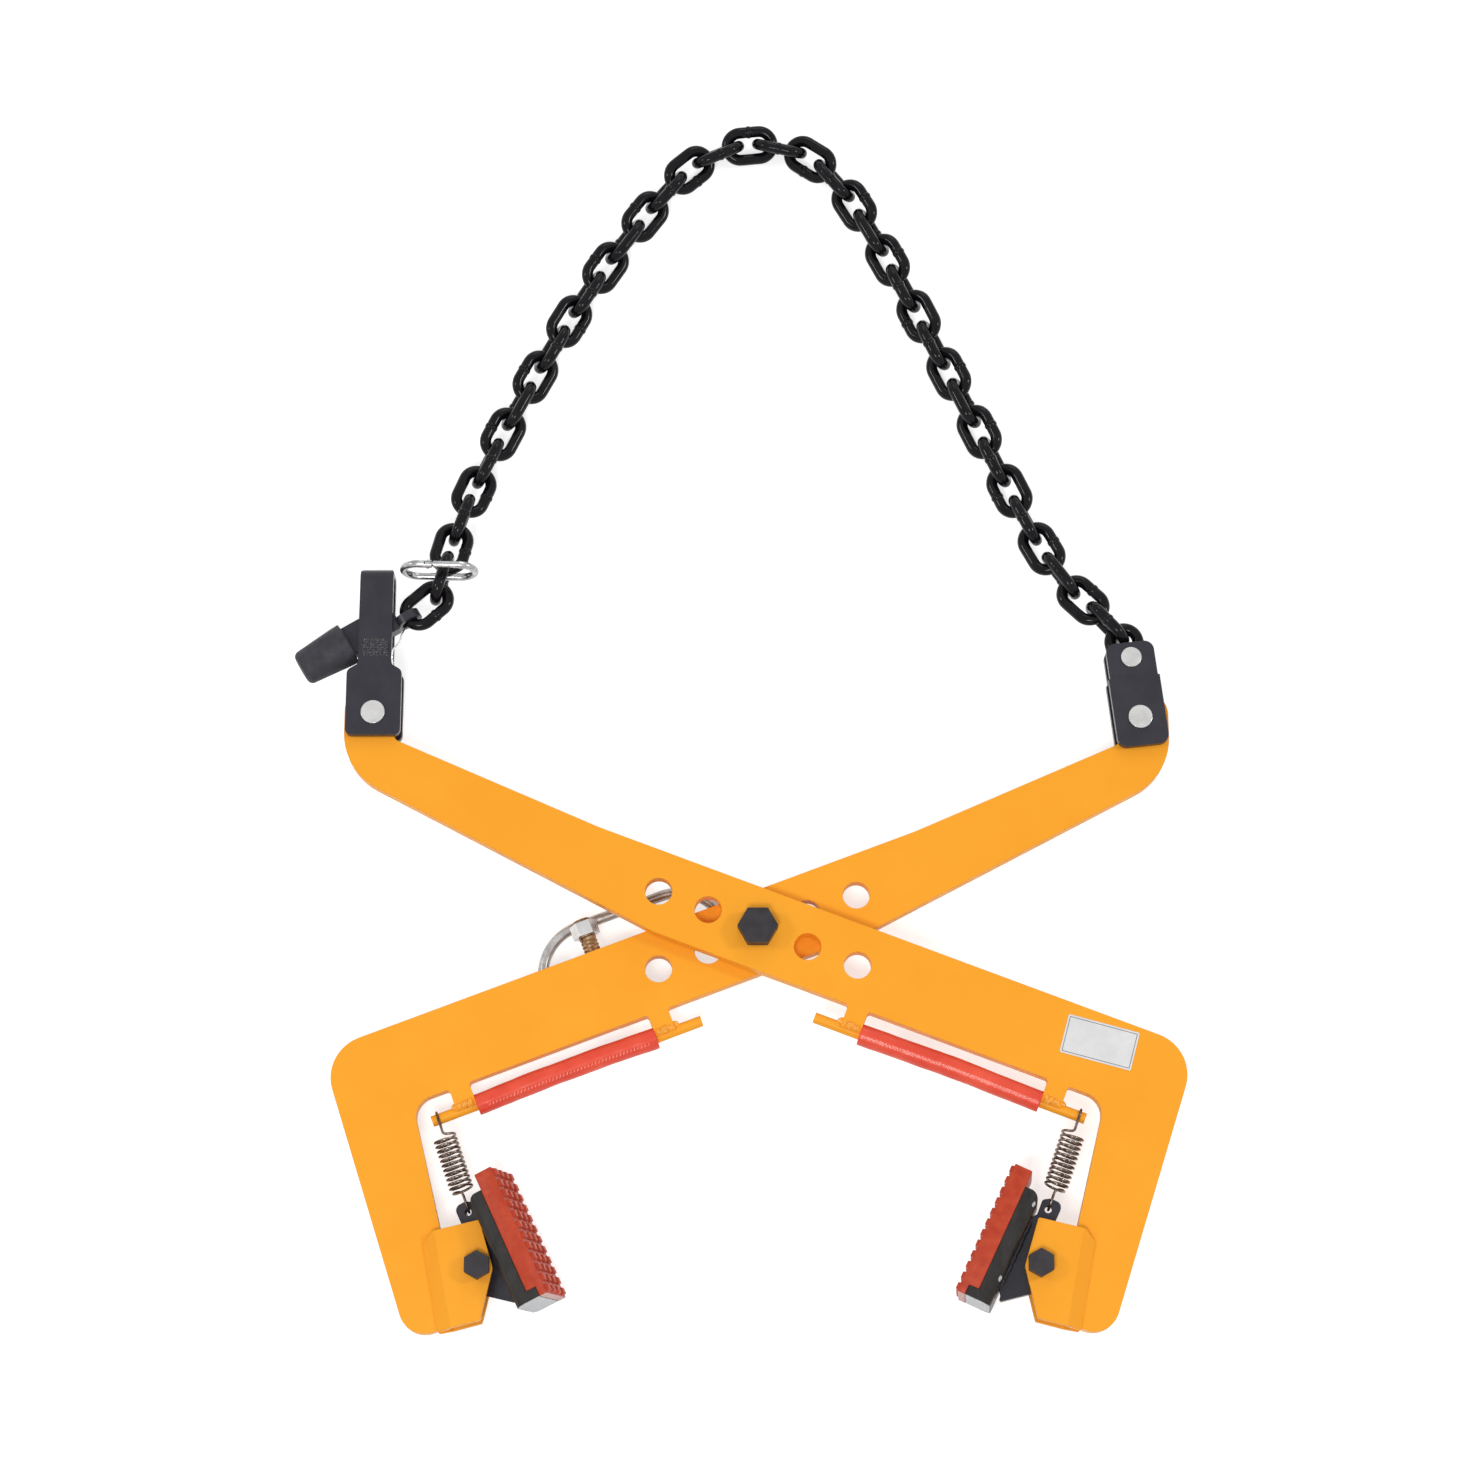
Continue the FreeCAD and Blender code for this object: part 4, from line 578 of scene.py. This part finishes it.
def add_nub(shaped, y, z):
    """One tapered nub on a pad's face, with its rising and tip edges rounded."""
    rings = []
    for x, scale in ((PAD_FACE - NUB_SINK, 1.0), (PAD_FACE + NUB_HEIGHT, NUB_TAPER)):
        rings.append([
            shaped.verts.new((x, y + dy * scale * NUB_LENGTH / 2, z + dz * scale * NUB_WIDTH / 2))
            for dy, dz in SQUARE])
    low, high = rings
    shaped.faces.new(list(reversed(low)))
    tip = shaped.faces.new(high)
    rounded = list(tip.edges)
    for index in range(4):
        following = (index + 1) % 4
        flank = shaped.faces.new((low[index], low[following], high[following], high[index]))
        rounded += [edge for edge in flank.edges if (edge.verts[0] in low) != (edge.verts[1] in low)]
    bmesh.ops.bevel(
        shaped, geom=list(dict.fromkeys(rounded)), offset=NUB_EDGE, segments=2, profile=0.6,
        affect="EDGES")


for side in ("right", "left"):
    shaped = bmesh.new()
    bottom = [shaped.verts.new((x, y, -PAD_HALF)) for x, y in pad_section]
    top = [shaped.verts.new((x, y, PAD_HALF)) for x, y in pad_section]
    shaped.faces.new(bottom)
    shaped.faces.new(list(reversed(top)))
    for index in range(len(pad_section)):
        following = (index + 1) % len(pad_section)
        shaped.faces.new((bottom[index], top[index], top[following], bottom[following]))
    bmesh.ops.recalc_face_normals(shaped, faces=shaped.faces)
    bmesh.ops.bevel(
        shaped, geom=list(shaped.edges), offset=PAD_EDGE, segments=2, profile=0.5, affect="EDGES")
    for row in range(NUB_ROWS):
        for column in range(NUB_COLUMNS):
            add_nub(shaped, PAD_TOP - row_pitch * (row + 0.5), -PAD_HALF + column_pitch * (column + 0.5))
    for face in shaped.faces:
        face.material_index = 1 if face.calc_center_median().y < -PAD_BOTTOM + TRIM_DEPTH else 0
    mesh = bpy.data.meshes.new(side + "_pad_moulding")
    shaped.to_mesh(mesh)
    shaped.free()
    settle(mesh, jaw_frame(side))
    pad = add_piece(side + "_pad_moulding", mesh, pad_rubber, side + "_jaw")
    mesh.materials.append(cut_rubber)
    pad.data.set_sharp_from_angle(angle=math.radians(50))
    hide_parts(side + "_jaw_pad")


# Springs: cold-wound extension springs of drawn steel wire. Each hooks over a handle rod's end and into
# the ear of a jaw, and swings the jaw back when the load is released.
ROD_END_U = 0.337
ROD_RADIUS = 0.005
EAR_HALF, EAR_RADIUS = 0.004, 0.010
SPRING_WIRE = 0.0024
SPRING_RADIUS = 0.0100
SPRING_TURNS = 12
SPRING_SIDES = 14
LEAD_IN, LEAD_OUT, SHANK_TURN = 0.017, 0.019, 0.004
HOOK_FROM_ROD_END = 0.006
HOOK_PLAY = 0.0003
UPPER_HOOK = ROD_RADIUS + HOOK_PLAY + SPRING_WIRE / 2
LOWER_HOOK = EAR_HALF + SPRING_WIRE + EAR_RADIUS * math.sin(JAW_ROCKS["left"])
UPPER_START = -150
COIL_START = 50
CURVE_STEPS = 9
CURVE_PULL = 1.17

spring_steel, tree, shader = start_finish("spring_steel", 0.95)
tint(tree, shader, grain(tree, 160.0, 4.0), (0.07, 0.045, 0.033), (0.26, 0.21, 0.175))
dull(tree, shader, grain(tree, 400.0), 0.08, 0.18)
relief(tree, shader, grain(tree, 1800.0, 2.0), 0.00002)


def ease(here, here_pull, there, there_pull, t):
    """Point at a share t of a smooth curve between two points, with a pull along the way at each."""
    return (
        here * (2 * t ** 3 - 3 * t ** 2 + 1) + here_pull * (t ** 3 - 2 * t ** 2 + t)
        + there * (3 * t ** 2 - 2 * t ** 3) + there_pull * (t ** 3 - t ** 2))


top = arm_spot(ROD_END_U - HOOK_FROM_ROD_END, ROD_V)
ear = jaw_frame("right") @ Vector((EAR_X, EAR_Y, 0))
along = (ear - top).normalized()
up = Vector((0, 0, 1))
across = along.cross(up)
stations = []
for degrees in (UPPER_START, -90, 0, 90):
    turn = math.radians(degrees)
    spot = top - along * (UPPER_HOOK * math.cos(turn)) + up * (UPPER_HOOK * math.sin(turn))
    way = along * math.sin(turn) + up * math.cos(turn)
    if degrees == UPPER_START:
        stations.append((spot - way * SPRING_WIRE, way))
    stations.append((spot, way))
stations.append((top + along * (LEAD_IN - SHANK_TURN) + up * UPPER_HOOK, along))
pitch = ((ear - top).length - LEAD_IN - LEAD_OUT) / SPRING_TURNS
climb = along * (pitch / (2 * math.pi * SPRING_RADIUS))
for quarter in range(4 * SPRING_TURNS - 1):
    turn = math.radians(COIL_START + 90 * quarter)
    radial = up * math.cos(turn) + across * math.sin(turn)
    way = across * math.cos(turn) - up * math.sin(turn) + climb
    spot = top + along * (LEAD_IN + pitch * quarter / 4) + radial * SPRING_RADIUS
    stations.append((spot, way.normalized()))
stations.append((ear - along * (LEAD_OUT - SHANK_TURN) + up * LOWER_HOOK, along))
for degrees in (90, 0, -90):
    turn = math.radians(degrees)
    spot = ear - along * LOWER_HOOK
    spot = spot + along * (LOWER_HOOK * math.cos(turn)) + up * (LOWER_HOOK * math.sin(turn))
    stations.append((spot, along * math.sin(turn) - up * math.cos(turn)))
stations.append((stations[-1][0] + stations[-1][1] * SPRING_WIRE, stations[-1][1]))
coil_line = []
for (here, here_way), (there, there_way) in zip(stations, stations[1:]):
    pull = (there - here).length * CURVE_PULL
    for step in range(CURVE_STEPS):
        coil_line.append(ease(here, here_way * pull, there, there_way * pull, step / CURVE_STEPS))
coil_line.append(stations[-1][0])

twin = Matrix.Translation(pivot - Vector((0, 0, REAR_ARM_BELOW))) @ ACROSS @ Matrix.Translation(-pivot)
for rear, body, bolt_body, node in (
        (False, "front_arm", "right_jaw_bolt", "right_spring"),
        (True, "rear_arm", "left_jaw_bolt", "left_spring")):
    coil_radii = [SPRING_WIRE / 2] * len(coil_line)
    mesh = join_tubes(node + "_coil", [tube(coil_line, coil_radii, SPRING_SIDES)])
    if rear:
        settle(mesh, twin)
    coil = add_piece(node + "_coil", mesh, spring_steel, None)
    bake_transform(coil)
    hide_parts(node)


# Stirrup on the left arm's eye: two shaped side plates, joined by a strap bent over into a bow, with a
# toggle bar through it. The strap is butt welded to the plates, and the seams show as a rough band
# under the black paint.
EYE_U, EYE_V = -0.405, 0.063
STRAP_HALF = 0.0155
STRAP_OUTER = 0.0145
SEAM_Y = 0.062
SEAM_ROWS = (-0.0060, -0.0036, -0.0012, 0.0012, 0.0036, 0.0060, 0.0084)
SEAM_INSET, SEAM_SINK = 0.0014, 0.0020
SEAM_LEAN = 0.0012
SEAM_RADIUS, SEAM_RIPPLE = 0.0025, 0.0031

finish_nodes(black_paint, "stirrup_bow", "stirrup_plates", "toggle_bar")
seam_black, tree, shader = start_finish("seam_black", shine=0.4)
tint(tree, shader, grain(tree, 300.0, 4.0), (0.016, 0.016, 0.020), (0.040, 0.039, 0.048))
dull(tree, shader, grain(tree, 400.0), 0.1, 0.3)
relief(tree, shader, grain(tree, 500.0, 3.0), 0.0004)

eye = arm_spot(EYE_U, EYE_V)
runs = []
for face in (1, -1):
    height = face * (STRAP_OUTER - SEAM_SINK)
    for row, back in enumerate(SEAM_ROWS):
        lean = SEAM_LEAN * noise.noise((row * 2.3, face, 4.0))
        first = eye + Vector((-STRAP_HALF + SEAM_INSET, SEAM_Y + back - lean, height))
        last = eye + Vector((STRAP_HALF - SEAM_INSET, SEAM_Y + back + lean, height))
        runs.append(weld_run(first, last, SEAM_RADIUS, 21.7 + 1.9 * row + 4 * face, SEAM_RIPPLE))
mesh = join_tubes("stirrup_seam_welds", runs)
add_piece("stirrup_seam_welds", mesh, seam_black, "stirrup")


# Link on the right arm's eye: two flat steel plates, one on each side of the arm, with a spacer between
# them at the chain's end. They are painted black like the stirrup.
finish_nodes(black_paint, "link_front_plate", "link_rear_plate", "link_spacer")


# Pins: plain round steel pins, pressed through the plates and left bright. They hold the stirrup and the
# link on the arms' eyes, and the chain's last link in its plates.
bright_zinc, tree, shader = start_finish("bright_zinc", 0.9)
tint(tree, shader, grain(tree, 60.0, 4.0), (0.56, 0.555, 0.55), (0.66, 0.655, 0.65))
dull(tree, shader, grain(tree, 260.0, 3.0), 0.2, 0.34)
relief(tree, shader, grain(tree, 900.0, 2.0), 0.000015, 0.0007)
finish_nodes(bright_zinc, "stirrup_pin", "link_arm_pin", "link_chain_pin")


# Sleeve: a thick black rubber cap pushed over the toggle bar's outer end, closed and rounded at its tip,
# with a lip round its mouth.
TOGGLE_SLOPE = math.radians(31.0)
TOGGLE_HEIGHT = 0.087
SLEEVE_TIP = -0.081
SLEEVE_LENGTH = 0.050
SLEEVE_RADIUS = 0.01675
SLEEVE_MOUTH = 0.02075
SLEEVE_ROUND = 0.006
SLEEVE_SKIN = 0.0001
SLEEVE_FLARE_LENGTH = SLEEVE_LENGTH - 0.009
FLARE_LOSS = 0.0004
ROUND_STEPS, FLARE_STEPS = 8, 12
SLEEVE_SIDES = 72

black_rubber, tree, shader = start_finish("black_rubber", shine=0.25)
tint(tree, shader, grain(tree, 70.0, 5.0), (0.029, 0.029, 0.036), (0.048, 0.048, 0.058))
dull(tree, shader, grain(tree, 220.0, 4.0), 0.5, 0.72)
relief(tree, shader, grain(tree, 1300.0, 4.0), 0.00006)

sleeve_profile = [(0.0, 0.0), (0.0, 0.005), (SLEEVE_SKIN, 0.0095)]
round_in = SLEEVE_ROUND - SLEEVE_SKIN
for step in range(ROUND_STEPS + 1):
    turn = math.radians(90 * step / ROUND_STEPS)
    radius = SLEEVE_RADIUS - SLEEVE_ROUND + round_in * math.sin(turn)
    sleeve_profile.append((SLEEVE_ROUND - round_in * math.cos(turn), radius))
for step in range(1, FLARE_STEPS):
    part = step / FLARE_STEPS
    flare = (SLEEVE_MOUTH - SLEEVE_RADIUS) * part
    radius = SLEEVE_RADIUS - SLEEVE_SKIN + flare - FLARE_LOSS * part
    sleeve_profile.append((SLEEVE_ROUND + SLEEVE_FLARE_LENGTH * part, radius))
sleeve_profile += [(SLEEVE_LENGTH - back, SLEEVE_MOUTH - inward) for back, inward in (
    (0.0024, 0.0007), (0.0016, 0.0004), (0.0007, 0.0005), (0.0001, 0.0012), (0.0, 0.0020))]
sleeve_profile += [(SLEEVE_LENGTH - back, radius) for back, radius in (
    (0.0002, 0.0172), (0.0014, 0.0164), (0.0060, 0.0160), (0.0062, 0.0))]
verts = []
for along, radius in sleeve_profile:
    for step in range(SLEEVE_SIDES):
        turn = 2 * math.pi * step / SLEEVE_SIDES
        local = radius * (1 + 0.004 * noise.noise((along * 60, math.cos(turn), math.sin(turn))))
        verts.append((SLEEVE_TIP + along, local * math.cos(turn), local * math.sin(turn)))
mesh = bpy.data.meshes.new("toggle_cap")
mesh.from_pydata(verts, [], ring_faces(len(sleeve_profile), SLEEVE_SIDES, False))
shaped = bmesh.new()
shaped.from_mesh(mesh)
bmesh.ops.remove_doubles(shaped, verts=shaped.verts, dist=0.000005)
shaped.to_mesh(mesh)
shaped.free()
settle(mesh, Matrix.Translation(eye + Vector((0, TOGGLE_HEIGHT, 0))) @ Matrix.Rotation(TOGGLE_SLOPE, 4, "Z"))
sleeve = add_piece("toggle_cap", mesh, black_rubber, "stirrup")
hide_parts("toggle_sleeve")


# Keeper wire: a thin bright steel wire that keeps the toggle bar from turning in the bow.
# One end is hooked through the bar's eye, the other is tucked behind the front plate's shoulder.
KEEPER_RADIUS = 0.0009
KEEPER_STEPS = 8
KEEPER_SIDES = 12
KEEPER_LINE = (
    (0.0262, 0.0850, 0.0030), (0.0258, 0.0800, 0.0100), (0.0244, 0.0745, 0.0146),
    (0.0241, 0.0707, 0.0158), (0.0228, 0.0671, 0.0164), (0.0204, 0.0639, 0.0165),
    (0.0172, 0.0602, 0.0160), (0.0163, 0.0556, 0.0150), (0.0163, 0.0497, 0.0138),
    (0.0170, 0.0447, 0.0124), (0.0182, 0.0410, 0.0110), (0.0190, 0.0380, 0.0102))
knots = [eye + Vector(spot) for spot in KEEPER_LINE]
spots = []
for index in range(len(knots) - 1):
    before, here = knots[max(index - 1, 0)], knots[index]
    there, after = knots[index + 1], knots[min(index + 2, len(knots) - 1)]
    for step in range(KEEPER_STEPS):
        spots.append(ease(here, (there - before) * 0.5, there, (after - here) * 0.5, step / KEEPER_STEPS))
spots.append(knots[-1])
mesh = join_tubes("keeper_wire", [tube(spots, [KEEPER_RADIUS] * len(spots), KEEPER_SIDES)])
add_piece("keeper_wire", mesh, bright_zinc, "stirrup")


# Chain: short-link lifting chain of round steel, each link bent and butt welded on one side, dipped in
# black paint. The left half hangs from the toggle's eye, the right half from the link's pin.
CHAIN_WIRE = 0.0055
LINK_BOW = 0.01315
LINK_LEG = 0.009165
LINK_SIDES = 20
LEG_STEPS, BOW_STEPS = 24, 26
WELD_SWELL = 0.0006
WELD_LENGTH = 0.0042
WELD_LIP, WELD_LIP_WIDTH = 0.00025, 0.0006
WIRE_UNEVEN = 0.006

chain_black, tree, shader = start_finish("chain_black", shine=0.15)
tint(tree, shader, grain(tree, 110.0, 4.0), (0.004, 0.0032, 0.0045), (0.008, 0.0068, 0.009))
dull(tree, shader, grain(tree, 180.0, 4.0), 0.06, 0.14)
relief(tree, shader, grain(tree, 260.0, 3.0), 0.00005)

link_line = []
for side in (1, -1):
    for step in range(LEG_STEPS):
        x = side * LINK_LEG * (1 - 2 * step / LEG_STEPS)
        radius = CHAIN_WIRE
        if side > 0:
            radius += WELD_SWELL * math.exp(-(x / WELD_LENGTH * 2) ** 4)
            radius -= WELD_LIP * math.exp(-((abs(x) - WELD_LENGTH * 0.55) / WELD_LIP_WIDTH) ** 2)
        link_line.append((x, side * LINK_BOW, radius))
    for step in range(BOW_STEPS):
        turn = math.pi * step / BOW_STEPS + math.pi / 2
        x = LINK_BOW * math.cos(turn) * side - side * LINK_LEG
        link_line.append((x, side * LINK_BOW * math.sin(turn), CHAIN_WIRE))


def joined_verts(seed, unseen):
    """All vertices joined to a first one by edges, taken out of those unseen."""
    group, waiting = [], [seed]
    unseen.discard(seed)
    while waiting:
        vert = waiting.pop()
        group.append(vert)
        for edge in vert.link_edges:
            other = edge.other_vert(vert)
            if other in unseen:
                unseen.discard(other)
                waiting.append(other)
    return group


def link_places(node):
    """Centre, long way and wide way of each link in a CAD chain node."""
    source = bmesh.new()
    source.from_mesh(frame["nodes"][node].data)
    bmesh.ops.remove_doubles(source, verts=source.verts, dist=0.00001)
    unseen = set(source.verts)
    places = []
    for seed in list(source.verts):
        if seed not in unseen:
            continue
        weight, middle, spread = 0.0, np.zeros(3), np.zeros((3, 3))
        faces = (face for vert in joined_verts(seed, unseen) for face in vert.link_faces)
        for face in dict.fromkeys(faces):
            area = face.calc_area()
            centre = np.array(face.calc_center_median()[:])
            weight += area
            middle += area * centre
            spread += area * np.outer(centre, centre)
        middle /= weight
        axes = np.linalg.eigh(spread / weight - np.outer(middle, middle))[1]
        places.append((Vector(middle), Vector(axes[:, 2]), Vector(axes[:, 1])))
    source.free()
    return places


for node in ("left_chain", "right_chain"):
    runs = []
    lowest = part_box(node)[0][2]
    for index, (middle, way, wide) in enumerate(link_places(node)):
        if wide.z < 0 or (abs(wide.z) < 0.2 and wide.x < 0):
            wide = -wide
        if index % 3 == 1:
            wide = -wide
        spots = [middle + way * x + wide * y for x, y, radius in link_line]
        radii = []
        for x, y, radius in link_line:
            radii.append(radius * (1 + WIRE_UNEVEN * noise.noise((x * 200, y * 200, index * 3.7))))
        link_verts, link_faces = tube(spots, radii, LINK_SIDES, closed=True)
        for vert in link_verts:
            vert.z = max(vert.z, lowest)
        runs.append((link_verts, link_faces))
    mesh = join_tubes(node + "_links", runs)
    settle(mesh)
    links = add_piece(node + "_links", mesh, chain_black, node)
    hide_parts(node)


# Snap hook: a small hook of bent round steel, zinc plated, clipped round the chain near the toggle.
# Its sprung gate turns on a rivet and closes against the hook's tip.
hook_zinc, tree, shader = start_finish("hook_zinc", 0.95)
tint(tree, shader, grain(tree, 140.0, 4.0), (0.30, 0.30, 0.305), (0.56, 0.56, 0.565))
dull(tree, shader, grain(tree, 260.0, 3.0), 0.14, 0.3)
relief(tree, shader, grain(tree, 900.0, 2.0), 0.000015, 0.0004)
finish_nodes(hook_zinc, "snap_hook_body", "snap_hook_gate", "snap_hook_rivet")


# Hold ring: an oblong loop of round steel under the left arm, galvanised dull silver grey.
# It turns in a block on the arm's underside, which is painted with the arm.
ring_zinc, tree, shader = start_finish("ring_zinc", 0.55)
tint(tree, shader, grain(tree, 120.0, 4.0), (0.36, 0.36, 0.355), (0.56, 0.56, 0.55))
dull(tree, shader, grain(tree, 300.0, 3.0), 0.2, 0.36)
relief(tree, shader, grain(tree, 900.0, 2.0), 0.00002)
finish_nodes(ring_zinc, "hold_ring")


# Stop stud: a screw welded on the left arm's upper edge, its thread darkened bronze by the zinc bath,
# with a bright nut that sets how far the arms close.
bronze_thread, tree, shader = start_finish("bronze_thread", 0.85)
tint(tree, shader, grain(tree, 300.0, 4.0), (0.2, 0.1, 0.04), (0.5, 0.33, 0.18))
dull(tree, shader, grain(tree, 500.0), 0.28, 0.5)
relief(tree, shader, grain(tree, 1500.0, 3.0), 0.00004, 0.0002)
finish_nodes(bronze_thread, "stop_stud")
finish_nodes(bright_zinc, "stop_nut")


# Nameplate: a blank printed foil, white with a thin grey border line. It is stuck on the right arm's
# upper face, a little askew to the row of holes.
ARM_HALF_THICKNESS = 0.007
LABEL_U, LABEL_V = 0.326, 0.011
LABEL_TURN = math.radians(5.5)
LABEL_HALF_LENGTH, LABEL_HALF_WIDTH = 0.033, 0.018
LABEL_TOP = ARM_HALF_THICKNESS + 0.0006
BORDER_INSET, BORDER_WIDTH = 0.0016, 0.0006
INK_SINK, INK_HEIGHT = 0.00005, 0.00008

label_foil, tree, shader = start_finish("label_foil", shine=0.25)
tint(tree, shader, grain(tree, 80.0, 3.0), (0.70, 0.70, 0.705), (0.76, 0.76, 0.765))
relief(tree, shader, grain(tree, 300.0, 2.0), 0.00003, 0.0002)
shader.inputs["Roughness"].default_value = 0.4
finish_nodes(label_foil, "nameplate")
label_ink, tree, shader = start_finish("label_ink")
tint(tree, shader, grain(tree, 900.0, 2.0), (0.1, 0.1, 0.11), (0.2, 0.2, 0.21))
shader.inputs["Roughness"].default_value = 0.5

verts, faces = [], []
for height in (LABEL_TOP - INK_SINK, LABEL_TOP + INK_HEIGHT):
    for inset in (BORDER_INSET, BORDER_INSET + BORDER_WIDTH):
        for du, dv in SQUARE:
            u, v = du * (LABEL_HALF_LENGTH - inset), dv * (LABEL_HALF_WIDTH - inset)
            turned_u = u * math.cos(LABEL_TURN) - v * math.sin(LABEL_TURN)
            turned_v = u * math.sin(LABEL_TURN) + v * math.cos(LABEL_TURN)
            verts.append(arm_spot(LABEL_U + turned_u, LABEL_V + turned_v, height))
for index in range(4):
    beside = (index + 1) % 4
    for low, high in ((0, 4), (8, 12), (0, 8), (4, 12)):
        faces.append((index + low, beside + low, beside + high, index + high))
mesh = bpy.data.meshes.new("label_border")
mesh.from_pydata(verts, [], faces)
settle(mesh)
border = add_piece("label_border", mesh, label_ink, "front_arm")
border.data.polygons.foreach_set("use_smooth", [False] * len(border.data.polygons))
